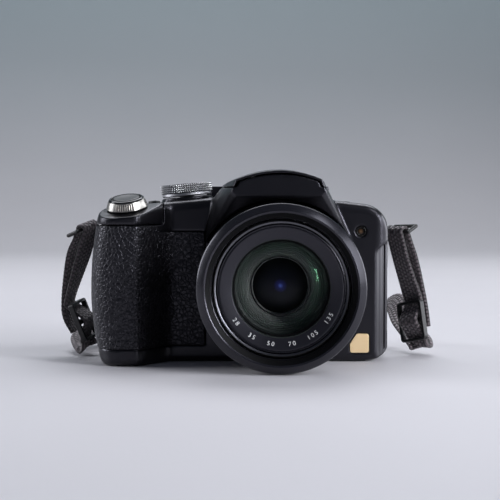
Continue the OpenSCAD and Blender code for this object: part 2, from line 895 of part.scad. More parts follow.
module zoom_gear() color([0.86, 0.84, 0.78])
    translate([drive_x, 0, drive_z])
        rotate([90, 0, 0]) {
            translate([0, 0, cam_back + 0.2])
                linear_extrude(3.4)
                    polygon([for (k = [0:drive_teeth - 1])
                        for (p = tooth(drive_teeth, drive_pitch_r,
                            drive_turn + 180 + (k + 0.5) * 360 / drive_teeth,
                            drive_pitch_r - 1.25 * gear_m, drive_pitch_r + gear_m, 0.12)) p]);
            translate([0, 0, cam_back - 4.3])
                cylinder(r = 1, h = 8.2, $fn = 32);
        }

module zoom_motor() {
    translate([drive_x, 0, drive_z])
        rotate([90, 0, 0])
            difference() {
                union() {
                    translate([0, 0, -9])
                        cylinder(r = 5, h = cam_back + 8, $fn = 48);
                    translate([0, 0, cam_back - 1.1])
                        cylinder(r = 2, h = 0.9, $fn = 32);
                }
                translate([0, 0, cam_back - 5])
                    cylinder(r = 1 + pin_fit, h = 8, $fn = 32);
            }
}

iris_r = tube_r - 6;
module outer_tube() color([0.1, 0.1, 0.11]) on_lens()
    rotate_extrude($fn = 120)
        polygon([
            [tube_r - tube_wall, 20], [tube_r, 20], [tube_r, tube_front - 0.4],
            [tube_r - 0.4, tube_front], [tube_r - tube_wall + 0.05, tube_front],
            [tube_r - tube_wall - 0.15, tube_front - 0.3],
            [tube_r - tube_wall - 0.15, tube_front - 1.6], [tube_r - tube_wall, tube_front - 2],
            [tube_r - tube_wall, 21.6], [iris_r, 21.6], [iris_r, 20]]);

module inner_tube() color([0.14, 0.14, 0.15]) on_lens()
    rotate_extrude($fn = 120)
        polygon([
            [inner_r - inner_wall, 24.4], [inner_r, 24.4], [inner_r, tube_front - 0.3],
            [inner_r - 0.3, tube_front], [inner_r - 0.6, tube_front],
            [inner_r - 0.6, tube_front - 1.8], [inner_r - inner_wall, tube_front - 1.8]]);

module name_ring() color([0.08, 0.08, 0.09]) on_lens()
    rotate_extrude($fn = 120)
        polygon([
            [glass_r + 0.3, tube_front - 1.3], [glass_r + 0.6, tube_front - 0.7],
            [inner_r - 1.2, tube_front - 0.25], [inner_r - 0.65, tube_front - 0.4],
            [inner_r - 0.65, tube_front - 1.75], [glass_r + 0.3, tube_front - 1.75]]);

lens_edge = tube_front - 6.4;
second_r = glass_r - 7.4;
module front_lens() color([0.35, 0.45, 0.5, 0.5]) on_lens()
    rotate_extrude($fn = 96)
        polygon(concat(
            [[0, lens_edge - 4.4]],
            [for (k = [1:6]) let (r = glass_r * k / 6) [r, lens_edge - 4.4 + 1.2 * pow(k / 6, 2)]],
            [for (k = [10:-1:0]) let (r = glass_r * k / 10) [r, lens_edge + 5.2 - 5.2 * pow(k / 10, 2)]]));

module lens_baffle() color([0.12, 0.13, 0.12]) on_lens() {
    // Cell round the front lens and the dark cone behind it
    rotate_extrude($fn = 96)
        polygon([
            [glass_r + 0.1, tube_front - 1.85], [inner_r - inner_wall - 0.05, tube_front - 1.85],
            [inner_r - inner_wall - 0.05, lens_edge - 6], [glass_r - 0.6, lens_edge - 6],
            [second_r + 2, lens_edge - 13], [second_r + 2, lens_edge - 18.2],
            [second_r + 0.02, lens_edge - 18.2], [second_r + 0.02, lens_edge - 13.9],
            [second_r + 0.3, lens_edge - 13.6], [second_r + 0.3, lens_edge - 12.4],
            [glass_r - 1.6, lens_edge - 4.9],
            [glass_r - 0.9, lens_edge - 3.6], [glass_r + 0.1, lens_edge - 3.3]]);
}

module second_lens() color([0.3, 0.34, 0.5, 0.5]) on_lens()
    rotate_extrude($fn = 72)
        polygon(concat(
            [[0, lens_edge - 18]], [[second_r, lens_edge - 18]],
            [for (k = [8:-1:0]) let (r = second_r * k / 8) [r, lens_edge - 13.2 - 1.8 * pow(k / 8, 2)]]));

module iris_unit() color([0.16, 0.16, 0.17]) on_lens() {
    rotate_extrude($fn = 72)
        polygon([
            [iris_r, 21.7], [tube_r - tube_wall - 0.6, 21.7], [tube_r - tube_wall - 0.6, 23.2],
            [iris_r + 1.2, 23.2], [iris_r + 1.2, 29.6], [6, 29.6], [6, 28.2], [iris_r - 0.2, 28.2],
            [iris_r, 27.8]]);
    // Stabiliser lens in the iris opening
    rotate_extrude($fn = 48)
        polygon([[0, 27.6], [5.9, 28.4], [6.02, 28.4], [6.02, 29.4], [5.9, 29.4], [0, 30.2]]);
}

rod_at = [[12.2, 12.2], [-12.2, -12.2]];
module focus_group() color([0.3, 0.3, 0.32]) on_lens() {
    difference() {
        union() {
            translate([0, 0, 11])
                cylinder(r = 11, h = 3.5, $fn = 64);
            for (p = rod_at)
                translate([p[0], p[1], 9.5])
                    cylinder(r = 2.4, h = 6.5, $fn = 32);
            for (s = [1, -1])
                translate([s * 9, s * 9, 12.7])
                    rotate([0, 0, 45])
                        cube([9, 4, 3.4], center = true);
        }
        for (p = rod_at)
            translate([p[0], p[1], 5])
                cylinder(r = 0.9 + pin_fit, h = 20, $fn = 32);
        translate([0, 0, 5])
            cylinder(r = 8, h = 20, $fn = 64);
    }
    rotate_extrude($fn = 64)
        polygon([[0, 11.2], [7.6, 11.8], [8.02, 11.8], [8.02, 13.8], [7.6, 13.8], [0, 15]]);
}

module chassis() color([0.6, 0.6, 0.62]) {
    zoom_motor();
    // Bracket of the zoom motor
    translate([drive_x + 4.6, 1, drive_z - 3])
        cube([6, 1.2, 4.6]);
    lens_frame();
}

module lens_frame() difference() {
    union() {
        translate([-19, 1, bush_top + 0.6])
            cube([body_right + 13.7, 1.2, 47]);
        // Rods that the focus group slides on
        for (p = rod_at)
            on_lens()
                translate([p[0], p[1], -1.2]) {
                    cylinder(r = 2.4, h = 3, $fn = 32);
                    cylinder(r = 0.9, h = 20.8, $fn = 32);
                }
        // Feet down to the base plate
        for (x = [-16, body_right - 13.3])
            translate([x, 1, base_t + 0.1])
                cube([6, 6.6, 1.2]);
        for (x = [-16, body_right - 13.3])
            translate([x, 1, base_t + 0.1])
                cube([6, 1.2, 4]);
    }
    translate([-5, 0, lens_z - 4])
        cube([10, 4, 8]);
}

module image_sensor() color([0.2, 0.22, 0.3]) {
    translate([-11, -0.4, lens_z - 9])
        cube([22, 1.3, 18]);
    translate([-5.5, -1.6, lens_z - 4.4])
        cube([11, 1.3, 8.8]);
}

module main_board() color([0.08, 0.3, 0.16]) {
    translate([-19, 4.6, 6])
        cube([body_right + 13.7, 1.2, 45]);
    for (p = [[-12, 36, 12, 12], [8, 38, 9, 9], [body_right - 19.3, 14, 10, 12],
              [-14, 12, 9, 9]])
        translate([p[0], 5.7, p[1]])
            cube([p[2], 1.3, p[3]]);
    for (p = [[-17, 8], [body_right - 7.3, 8], [-17, 49], [body_right - 7.3, 49]])
        translate([p[0], 2.22, p[1]])
            rotate([-90, 0, 0])
                cylinder(r = 1.4, h = 2.5, $fn = 24);
}

module shutter_button() color([0.05, 0.05, 0.06]) on_shutter()
    rotate_extrude($fn = 64)
        polygon([
            [0, 5.1], [3, 5.1], [4.8, 4.9], [5.4, 4.3], [5.4, 3.4], [3.6, 3.4], [3.6, -3],
            [0, -3]]);

module zoom_lever() color([0.8, 0.8, 0.82]) on_shutter() {
    difference() {
        union() {
            translate([0, 0, 0.5])
                rotate_extrude($fn = 80)
                    polygon([
                        [5.75, 1.3], [3.9, 1.3], [3.9, -3.6], [4.5, -3.6], [4.5, 0], [lever_r - 0.3, 0],
                        [lever_r, 0.4], [lever_r - 1.5, 3.4], [lever_r - 1.8, 3.7], [5.75, 3.7]]);
            // Finger rest at the front of the lever
            hull() {
                for (a = [-112, -68])
                    rotate([0, 0, a])
                        translate([lever_r - 0.8, 0, 0.6])
                            cylinder(r = 0.8, h = 2, $fn = 16);
                translate([0, 1.4 - lever_r, 0.6])
                    cylinder(r = 0.6, h = 3, $fn = 16);
            }
        }
        for (a = [-106:8:-74])
            rotate([0, 0, a])
                translate([lever_r + 0.1, 0, 1.2])
                    cylinder(r = 0.32, h = 5, $fn = 16);
    }
}

module mode_dial() color([0.72, 0.72, 0.74]) on_dial() {
    knurl_n = 48;
    difference() {
        union() {
            translate([0, 0, dial_seat + 0.3])
                cylinder(r = dial_r - 0.6, h = 1.5, $fn = 80);
            translate([0, 0, dial_seat + 1.7])
                linear_extrude(3.6)
                    polygon([for (k = [0:knurl_n - 1])
                        for (s = [[0, 0], [0.3, 0.35], [0.7, 0.35]])
                            let (a = 360 * (k + s[0]) / knurl_n, r = dial_r - 0.35 + s[1])
                            r * [cos(a), sin(a)]]);
            translate([0, 0, -4.5])
                cylinder(r = 3, h = 7, $fn = 40);
        }
        for (z = [1.2, 2.4])
            translate([0, 0, dial_seat + 1.7 + z])
                rotate_extrude($fn = 80)
                    polygon([[dial_r - 0.3, 0], [dial_r + 1, -0.5], [dial_r + 1, 0.5]]);
        translate([0, 0, dial_seat + 5])
            cylinder(r = dial_r - 1.3, h = 2, $fn = 80);
    }
}

module power_switch() color([0.14, 0.14, 0.15]) on_power(-1.4) {
    translate([-2.6, -1.4, -3.2])
        cube([5.2, 2.8, 4.2]);
    for (x = [-1.8, -0.6, 0.6, 1.8])
        translate([x - 0.25, -1.2, 0.9])
            cube([0.5, 2.4, 0.5]);
}

// Key in the top plate that stands proud by rise
module top_key(p, rise) {
    tall = 3.4 + rise;
    translate([p[0], p[1], top_z(p[0]) - 3.4])
        rotate_extrude($fn = 40)
            polygon([
                [0, 0], [top_key_r + 0.9, 0], [top_key_r + 0.9, 1], [top_key_r, 1],
                [top_key_r, tall - 0.5], [top_key_r - 0.3, tall - 0.2], [0, tall]]);
}

module burst_button() color([0.1, 0.1, 0.11]) top_key(burst_at, 1.1);
module focus_button() color([0.1, 0.1, 0.11]) top_key(focus_at, 1.1);

module flash_lid() color([0.06, 0.06, 0.07]) difference() {
    union() {
        intersection() {
            difference() {
                hump(0, 0);
                hump(lid_t, 3);
            }
            lid_room(0);
        }
        // Knuckle and the pad that carries the flash head
        translate([-knuckle_w / 2, hinge_y, hinge_z])
            rotate([0, 90, 0])
                cylinder(r = knuckle_r, h = knuckle_w, $fn = 40);
        hull() {
            translate([-knuckle_w / 2, hinge_y, hinge_z - 0.9])
                cube([knuckle_w, 0.01, 1.6]);
            translate([-knuckle_w / 2, -9, hinge_z - 0.6])
                cube([knuckle_w, 0.01, 1.9]);
        }
        intersection() {
            hump(lid_t - 0.3, 0);
            translate([-9, -35, flash_low + flash_h + 0.04])
                cube([18, 26, 4]);
        }
    }
    translate([-20, hinge_y, hinge_z])
        rotate([0, 90, 0])
            cylinder(r = 0.5 + pin_fit, h = 40, $fn = 24);
}

module flash_head() color([0.5, 0.5, 0.52]) {
    difference() {
        translate([-11, -37.4, flash_low])
            cube([22, 12.4, flash_h]);
        // Reflector trough, open to the front
        hull() {
            translate([-10.2, -37.6, flash_low + 0.5])
                cube([20.4, 0.01, flash_h - 1]);
            translate([-9, -30, flash_low + 1.3])
                cube([18, 0.01, flash_h - 2.6]);
        }
    }
    translate([-10, -33.4, flash_low + flash_h / 2])
        rotate([0, 90, 0])
            cylinder(r = 0.5, h = 20, $fn = 24);
}

module flash_button() color([0.12, 0.12, 0.13]) top_key(flash_key_at, 0.3);

module eyecup() color([0.07, 0.07, 0.07])
    translate([0, body_back + 0.1, finder_z])
        rotate([-90, 0, 0])
            difference() {
                union() {
                    linear_extrude(3)
                        offset(r = 3, $fn = 40)
                            square([19, 7.4], center = true);
                    hull() {
                        translate([0, 0, 2.9])
                            linear_extrude(0.1)
                                offset(r = 3.5, $fn = 40)
                                    square([19, 8], center = true);
                        translate([0, 0, 9.4])
                            linear_extrude(0.1)
                                offset(r = 4, $fn = 40)
                                    square([20, 9], center = true);
                    }
                }
                translate([0, 0, -1])
                    linear_extrude(20)
                        offset(r = 3, $fn = 40)
                            square([12.6, 6.6], center = true);
            }

module finder_lens() color([0.5, 0.55, 0.6, 0.5])
    translate([0, body_back - 6, finder_z])
        rotate([-90, 0, 0])
            linear_extrude(4.6)
                offset(r = 2.8, $fn = 40)
                    square([12.9, 6.9], center = true);

module finder_display() color([0.1, 0.1, 0.12]) {
    translate([-9, -1, finder_z - 5.6])
        cube([18, 1.4, 10.6]);
    translate([-6, 0.3, finder_z - 4])
        cube([12, 0.6, 8]);
    // Light tunnel to the eyepiece lens
    difference() {
        translate([-10, 0.3, finder_z - 5.6])
            cube([20, 10.6, 10.6]);
        translate([-9, -1, finder_z - 4.8])
            cube([18, 20, 9]);
    }
}

module dioptre_dial() color([0.12, 0.12, 0.13])
    translate(dioptre_at)
        rotate([-90, 0, 0])
            difference() {
                union() {
                    cylinder(r = dioptre_r, h = 2.8, $fn = 48);
                    cylinder(r = 1, h = body_back - 0.6 - dioptre_at[1], $fn = 24);
                }
                for (a = [0:20:340])
                    rotate([0, 0, a])
                        translate([dioptre_r + 0.15, 0, -1])
                            cylinder(r = 0.4, h = 6, $fn = 16);
            }

module key(p, r) {
    translate([p[0], body_back - wall - 2.2, p[1]])
        rotate([-90, 0, 0])
            rotate_extrude($fn = 40)
                polygon([
                    [0, 0], [r + key_flange, 0], [r + key_flange, 1.4], [r, 1.4],
                    [r, wall + 2.2 + key_proud - 0.4], [r - 0.4, wall + 2.2 + key_proud],
                    [0, wall + 2.2 + key_proud + 0.1]]);
}

module finder_button() color([0.12, 0.12, 0.13]) key(finder_key_at, side_key_r);
module display_button() color([0.12, 0.12, 0.13]) key(display_at, side_key_r);
module delete_button() color([0.12, 0.12, 0.13]) key(delete_at, side_key_r);
module set_button() color([0.12, 0.12, 0.13]) key([keys_x, keys_z], set_r);

module key_right() color([0.12, 0.12, 0.13]) key([keys_x - key_ring, keys_z], key_r);
module key_left() color([0.12, 0.12, 0.13]) key([keys_x + key_ring, keys_z], key_r);
module key_up() color([0.12, 0.12, 0.13]) key([keys_x, keys_z + key_ring], key_r);
module key_down() color([0.12, 0.12, 0.13]) key([keys_x, keys_z - key_ring], key_r);

module play_switch() color([0.14, 0.14, 0.15])
    translate([play_at[0] - 3.8, 0, play_at[1]]) {
        translate([0, body_back - wall - 2, -1.1])
            cube([4.4, wall + 2.6, 2.2]);
        for (x = [0.8, 2, 3.2])
            translate([x, body_back + 0.5, -0.9])
                cube([0.5, 0.5, 1.8]);
    }

// Stick on two crossed pivots: the frame tips up and down, the stick in it left and right
module joystick_frame() color([0.6, 0.6, 0.62])
    translate([joy_at[0], joy_y, joy_at[1]]) {
        rotate([-90, 0, 0])
            difference() {
                translate([0, 0, -0.8])
                    cylinder(r = 4.2, h = 1.6, $fn = 48);
                translate([0, 0, -5])
                    cylinder(r = 3.2, h = 10, $fn = 48);
                for (s = [-1, 1])
                    translate([0, s * 3.7, 0])
                        rotate([90, 0, 0])
                            cylinder(r = 0.4 + pin_fit, h = 3, center = true, $fn = 20);
            }
        for (s = [-1, 1])
            translate([s * 4.8, 0, 0])
                rotate([0, 90, 0])
                    cylinder(r = 0.4, h = 1.6, center = true, $fn = 20);
    }

module joystick() color([0.1, 0.1, 0.11])
    translate([joy_at[0], 0, joy_at[1]]) {
        translate([0, body_back, 0])
            rotate([-90, 0, 0])
                rotate_extrude($fn = 48)
                    polygon([
                        [0, joy_y - body_back - 0.9], [2.2, joy_y - body_back - 0.9],
                        [2.2, joy_y - body_back + 0.7], [1.1, -1.2], [1.5, 0.6], [2.3, 1.4], [2.3, 2],
                        [1.9, 2.5], [0, 2.6]]);
        translate([0, joy_y, 0])
            cylinder(r = 0.4, h = 8, center = true, $fn = 20);
    }

module lcd_window() color([0.05, 0.05, 0.06])
    translate([lcd_x - lcd_w / 2, body_back - 1, lcd_z - lcd_h / 2])
        cube([lcd_w, 1.1, lcd_h]);

module lcd_panel() color([0.18, 0.2, 0.24]) {
    translate([lcd_x - 27, body_back - 5, lcd_z - 21])
        cube([54, 3.2, 42]);
    translate([lcd_x - 25.4, body_back - 2, lcd_z - 19])
        cube([50.8, 0.8, 38]);
    for (x = [lcd_x - 27, lcd_x + 24])
        for (z = [12, 44])
            translate([x, 5.82, z])
                rotate([-90, 0, 0])
                    cylinder(r = 1.2, h = body_back - 10.7, $fn = 24);
}

module battery() color([0.25, 0.26, 0.3]) {
    translate([battery_x - battery_w / 2, -20, base_t + 0.3])
        cube([battery_w, battery_d, battery_h]);
    for (y = [-6, -3, 0])
        translate([battery_x - 3, y, base_t + 0.2 + battery_h])
            cube([6, 1.6, 0.5]);
}

module memory_card() color([0.16, 0.2, 0.4])
    translate([-body_left + 25.2, -11.5, base_t + 0.4])
        difference() {
            cube([2.1, 24, 32]);
            translate([-1, 20, 28])
                rotate([45, 0, 0])
                    cube([4, 8, 8]);
        }

terminal_axis = [body_right - terminal_t / 2, terminal_y0 + terminal_t / 2];

module terminal_room() {
    translate([body_right - terminal_t - gap, terminal_y0 - gap, terminal_z - terminal_h / 2 - gap])
        cube([10, terminal_y1 - terminal_y0 + 2 * gap, terminal_h + 2 * gap]);
}

// Stub pins on the front cover that the terminal door turns on
module terminal_stubs() {
    for (s = [-1, 1])
        translate([terminal_axis[0], terminal_axis[1], terminal_z + s * (terminal_h / 2 + 0.2)])
            cylinder(r = 0.35, h = 3, center = true, $fn = 20);
}

module terminal_door() color([0.09, 0.09, 0.1]) difference() {
    translate([0, 0, terminal_z - terminal_h / 2]) {
        translate([body_right - terminal_t, terminal_axis[1], 0])
            cube([terminal_t, terminal_y1 - terminal_axis[1], terminal_h]);
        translate([terminal_axis[0], terminal_axis[1], 0])
            cylinder(r = terminal_t / 2, h = terminal_h, $fn = 32);
    }
    translate([terminal_axis[0], terminal_axis[1], terminal_z - terminal_h])
        cylinder(r = 0.35 + pin_fit, h = 2 * terminal_h, $fn = 20);
}

module sockets() color([0.75, 0.75, 0.77])
    for (z = [[15, 6], [24, 8.5]])
        difference() {
            translate([body_right - 9.8, terminal_y0 + 1.4, z[0]])
                cube([7.8, 0.95 - terminal_y0 - 1.4, z[1]]);
            translate([body_right - 7.3, terminal_y0 + 2.2, z[0] + 0.8])
                cube([8, 4.4, z[1] - 1.6]);
        }

module rod(p, q, r) {
    hull() {
        translate(p)
            sphere(r = r, $fn = 12);
        translate(q)
            sphere(r = r, $fn = 12);
    }
}

// Wire rings that carry the webbing: inner foot, bar direction and where the webbing sits
lug_right = [body_right, 11.6, 52];
lug_left = [-body_left + 1, 12.6, 52.4];
right_bar = [lug_right + [1.8, -1.8, -1.9], lug_right + [9.1, -12.1, -1.5]];
left_bar = [lug_left + [-2.1, -1.8, 1.2], lug_left + [-9.1, -13, -1.8]];
ring_depth = 4.8;

// Ring behind a bar, its back raised by tilt degrees
module wire_ring(bar, tilt) {
    e = dir(bar[1] - bar[0]);
    away = dir(cross(e, [0, 0, 1])) * -sign(bar[0][0]);
    back = (away * cos(tilt) + [0, 0, 1] * sin(tilt)) * ring_depth;
    rod(bar[0], bar[1], ring_wire);
    rod(bar[0], bar[0] + back, ring_wire);
    rod(bar[1], bar[1] + back, ring_wire);
    rod(bar[0] + back, bar[1] + back, ring_wire);
}

module strap_rings() color([0.85, 0.85, 0.87]) {
    wire_ring(right_bar, 30);
    wire_ring(left_bar, -20);
    rod(lug_right + [-1.7, 0, 0], lug_right + [3.4, 0, 0], 1.1);
    rod(lug_left + [3, 0, 0], lug_left + [-4.4, 0, 0], 1.1);
}

// Webbing runs: each control point has a place and the direction across the webbing
function spline(c, n) = concat(
    [for (i = [0:len(c) - 2]) for (k = [0:n - 1])
        let (p0 = c[max(i - 1, 0)], p1 = c[i], p2 = c[i + 1], p3 = c[min(i + 2, len(c) - 1)], t = k / n)
        0.5 * (2 * p1 + (p2 - p0) * t + (2 * p0 - 5 * p1 + 4 * p2 - p3) * t * t
            + (3 * p1 - p0 - 3 * p2 + p3) * t * t * t)],
    [c[len(c) - 1]]);

function buckle_axes(down, face) =
    let (v = dir(down), u = dir(cross(face, v))) [u, v, cross(v, u)];
right_buckle = [body_right + 11.5, 5.6, 14];
right_axes = buckle_axes([0.12, -0.16, -0.97], [-0.75, -0.635, 0.01]);
left_buckle = [-body_left - 6.4, 6.6, 14.4];
left_axes = buckle_axes([0.36, 0.05, -0.92], [0.88, -0.32, 0.32]);
function on_buckle(at, ax, v, n) = at + ax[1] * v + ax[2] * n;

web_loop = ring_wire + web_gap + web_t / 2;

// From the loose end behind the buckle, over the ring, through the buckle, then back and away
function web_path(bar, at, ax, away) =
    let (mid = (bar[0] + bar[1]) / 2, e = dir(bar[1] - bar[0]) * sign(bar[1][0] - bar[0][0]),
         m = dir(cross(e, [0, 0, 1])), up = cross(m, e), down = dir(on_buckle(at, ax, -11, -3.6) - mid))
    concat(
        [[on_buckle(at, ax, 3, -5), ax[0]], [on_buckle(at, ax, -7, -5), ax[0]],
         [mid - m * (web_loop + 0.7) + down * 13, e], [mid - m * (web_loop + 0.2) + down * 4, e]],
        [for (a = [0:45:180]) [mid + (up * sin(a) - m * cos(a)) * web_loop, e]],
        [[mid + m * (web_loop + 0.2) + down * 4, e], [mid + m * (web_loop + 0.4) + down * 13, e]],
        [for (p = [[-10, -2.2], [-7, -2.1], [-4, 0], [-1, 2.1], [1, 2.1], [4, 0], [7, -2.1],
                   [8.7, -2.4], [10.4, -3.2]])
            [on_buckle(at, ax, p[0], p[1]), ax[0]]],
        away);

band_mid = 48.5;
tie_t = 0.7;
band_low = tie_t + 0.2 + band_t / 2;
band_x0 = -66;
band_folds = 4;
band_top = band_low + band_folds * band_step;
right_web = web_path(right_bar, right_buckle, right_axes, [
    [[59, 12, 4.2], dir([0.9, -0.2, 0.35])], [[57, 19, 7.5], dir([0.85, 0.2, 0.4])],
    [[53.4, 27, 13], dir([0.8, 0.2, 0.5])], [[51.8, 35, 18], dir([0.75, 0.1, 0.65])],
    [[50, 42, 19], dir([0.45, 0.6, 0.65])], [[46, 47.8, 16], dir([0.1, 0.95, 0.2])],
    [[band_x0 + band_run + 3, band_mid, band_top + 0.3], [0, 1, 0]],
    [[band_x0 + band_run + 1.4, band_mid, band_top + 0.05], [0, 1, 0]],
    [[band_x0 + band_run + 0.3, band_mid, band_top], [0, 1, 0]]]);
left_web = web_path(left_bar, left_buckle, left_axes, [
    [[-80.4, 15.6, 4.4], dir([0.85, 0.4, 0.3])], [[-82, 23.5, 6.8], dir([0.95, 0, 0.25])],
    [[-80, 32, 9.5], dir([0.95, 0, 0.2])], [[-78, 41, 7], dir([0.75, -0.4, 0.4])],
    [[-75, 46.6, 3.4], dir([0.4, -0.85, 0.2])],
    [[band_x0 - 5, band_mid, band_low + 0.4], [0, -1, 0]],
    [[band_x0 - 2, band_mid, band_low + 0.05], [0, -1, 0]],
    [[band_x0 - 0.3, band_mid, band_low], [0, -1, 0]]]);

// Flat strip along a path of places and across directions
module strip(path, w, t, n) {
    c = spline([for (p = path) p[0]], n);
    u = spline([for (p = path) p[1]], n);
    last = len(c) - 1;
    points = [for (i = [0:last])
        let (f = dir(c[min(i + 1, last)] - c[max(i - 1, 0)]), h = dir(cross(f, u[i])), a = cross(h, f))
        for (s = [[-1, -1], [1, -1], [1, 1], [-1, 1]]) c[i] + a * s[0] * w / 2 + h * s[1] * t / 2];
    sides = [for (i = [0:last - 1]) for (k = [0:3])
        let (p = 4 * i + k, q = 4 * i + (k + 1) % 4)
        for (f = [[p, q + 4, q], [p, p + 4, q + 4]]) f];
    ends = [[1, 2, 3], [0, 1, 3], [4 * last + 2, 4 * last + 1, 4 * last],
            [4 * last + 3, 4 * last + 2, 4 * last]];
    polyhedron(points = points, faces = concat(sides, ends), convexity = 10);
}

// Least gap of a strip to itself, between places well apart along it
function self_gap(path, t, n, skip) =
    let (c = spline([for (p = path) p[0]], n))
    min([for (i = [0:len(c) - 1 - skip]) for (k = [i + skip:len(c) - 1]) norm(c[i] - c[k])]) - t;

module straps() color([0.2, 0.17, 0.16]) {
    strip(right_web, web_w, web_t, 3);
    strip(left_web, web_w, web_t, 3);
}

module buckle(at, ax) {
    multmatrix([
        [ax[0][0], ax[1][0], ax[2][0], at[0]], [ax[0][1], ax[1][1], ax[2][1], at[1]],
        [ax[0][2], ax[1][2], ax[2][2], at[2]], [0, 0, 0, 1]])
        difference() {
            translate([0, 0, -buckle_t / 2])
                linear_extrude(buckle_t)
                    offset(r = 1.5, $fn = 24)
                        square([buckle_w - 3, buckle_l - 3], center = true);
            for (s = [-1, 1])
                translate([0, s * 4, 0])
                    cube([web_w + 1, 6, 10], center = true);
        }
}

module buckles() color([0.05, 0.05, 0.05]) {
    buckle(right_buckle, right_axes);
    buckle(left_buckle, left_axes);
}

// Zigzag of the band seen from the side, d off its middle line
function band_line(d) = [for (k = [0:band_folds])
    let (s = k % 2 == 0 ? 1 : -1, z = band_low + k * band_step, far = s > 0 ? band_x0 + band_run : band_x0,
         r = band_step / 2, bend = k < band_folds ? r : 0)
    for (p = concat(
        [[s > 0 ? (k == 0 ? band_x0 : band_x0 + r) : band_x0 + band_run - r, z + s * d]],
        [[far - s * bend, z + s * d]],
        bend == 0 ? [] : [for (a = [-60:30:60])
            [far - s * r + s * (r - s * d) * cos(a), z + r + (r - s * d) * sin(a)]])) p];
function reversed(l) = [for (k = [len(l) - 1:-1:0]) l[k]];

module neck_band() color([0.12, 0.11, 0.11]) {
    band_tie();
    translate([0, band_mid + band_w / 2, 0])
        rotate([90, 0, 0])
            linear_extrude(band_w)
                polygon(concat(band_line(-band_t / 2), reversed(band_line(band_t / 2))));
}

// Flat tie round the folded band
module band_tie() {
    translate([band_x0 + band_run / 2, band_mid, (band_low + band_top) / 2])
        rotate([0, 90, 0])
            difference() {
                cube([band_top + band_low, band_w + 0.4 + 2 * tie_t, 12], center = true);
                cube([band_top + band_low - 2 * tie_t, band_w + 0.4, 20], center = true);
            }
}

echo(strap_least_gap = min(self_gap(right_web, web_t, 3, 12), self_gap(left_web, web_t, 3, 12)));
echo(band_least_gap = band_step - band_t);

front_cover();
rear_cover();
top_cover();
base_plate();
grip_rubber();
badge_plate();
af_lamp();
front_ring();
fixed_barrel();
cam_ring();
zoom_gear();
outer_tube();
inner_tube();
name_ring();
front_lens();
lens_baffle();
second_lens();
iris_unit();
focus_group();
image_sensor();
chassis();
main_board();
shutter_button();
zoom_lever();
mode_dial();
power_switch();
burst_button();
focus_button();
flash_lid();
flash_head();
flash_button();
eyecup();
finder_lens();
finder_display();
dioptre_dial();
finder_button();
play_switch();
joystick_frame();
joystick();
key_up();
key_down();
key_left();
key_right();
set_button();
display_button();
delete_button();
lcd_window();
lcd_panel();
battery();
memory_card();
battery_door();
door_latch();
terminal_door();
sockets();
tripod_bush();
fasteners();
strap_rings();
straps();
buckles();
neck_band();
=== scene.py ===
"""Looks of a bridge camera with a zoom lens, a rubber grip and a webbing neck strap.

Metres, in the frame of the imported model: X to the right seen from the front, Y backwards, Z up.
The object's sizes are written in millimetres and turned into metres where a piece is made. The camera,
the lamps and the stage are in metres.
"""
import json
import math

import bpy
from mathutils import Matrix, Vector


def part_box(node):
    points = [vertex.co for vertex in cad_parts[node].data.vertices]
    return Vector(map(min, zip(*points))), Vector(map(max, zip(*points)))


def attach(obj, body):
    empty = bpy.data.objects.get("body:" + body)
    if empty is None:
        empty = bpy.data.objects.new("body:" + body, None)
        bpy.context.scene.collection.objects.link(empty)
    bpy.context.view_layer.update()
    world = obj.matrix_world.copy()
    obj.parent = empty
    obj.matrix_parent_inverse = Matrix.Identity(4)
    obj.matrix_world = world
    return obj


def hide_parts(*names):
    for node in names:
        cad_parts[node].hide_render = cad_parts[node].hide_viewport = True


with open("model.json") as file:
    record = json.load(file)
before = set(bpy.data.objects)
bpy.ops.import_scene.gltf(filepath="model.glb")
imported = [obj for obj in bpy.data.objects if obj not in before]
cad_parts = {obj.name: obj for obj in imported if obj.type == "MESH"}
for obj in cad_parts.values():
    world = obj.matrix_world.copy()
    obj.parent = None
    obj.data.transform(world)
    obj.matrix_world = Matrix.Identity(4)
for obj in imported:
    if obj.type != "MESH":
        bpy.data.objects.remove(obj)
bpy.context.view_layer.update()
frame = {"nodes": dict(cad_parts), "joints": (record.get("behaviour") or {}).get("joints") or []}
nodes = frame["nodes"]

MM = 0.001

# Places that the frame gives: axes of the lens, dial and shutter, and the front faces of ring and tubes
joint_at = {joint["name"]: Vector(joint["pos_m"]) / MM for joint in frame["joints"] if "pos_m" in joint}
LENS_Z = joint_at["cam_turn"].z
DIAL_AT = joint_at["mode_dial_turn"]
SHUTTER_AT = joint_at["zoom_lever_turn"]
RING_FRONT = -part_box("front_ring")[0].y / MM
TUBE_FRONT = -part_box("inner_tube")[0].y / MM

# Lean of the dial and the shutter pod to their side, and of the pod forwards
POD_LEAN = math.radians(5.3)
POD_PITCH = math.radians(15)

# Radii of the lens from its outside inwards, and how far ahead the rim of the front glass lies
RING_R = 31.1
BARREL_R = 28.48
MOUTH_R = 27.6
THREAD_R = 26.0
LIP_R = 25.65
TUBE_R = 25.2
INNER_R = 23.5
GLASS_R = 17.8
SECOND_R = 10.4
LENS_EDGE = TUBE_FRONT - 6.4

# Mode dial and its knurled band
DIAL_R = 10.0
KNURL_R = 10.06
KNURL_LOW = 3.15
KNURL_TALL = 3.4

# Zoom lever: well for the button, and the slope of its cone in degrees
WELL_R = 5.75
CONE_SLOPE = 20.5

# Webbing, the wire of its rings and how far their lugs stand out of the case
WEB_W = 10.0
WEB_T = 1.4
WIRE_R = 0.8
LUG_REACH = 2.6

# Neck band: width and thickness, then its layers' spacing, length and folds, and where they lie
BAND_W = 35.0
BAND_T = 2.0
BAND_STEP = 3.2
BAND_RUN = 106.0
BAND_FOLDS = 4
BAND_X = -66.0
BAND_Y = 48.5
BAND_LOW = 1.9
BAND_TOP = BAND_LOW + BAND_FOLDS * BAND_STEP


# Selection, camera and lamps

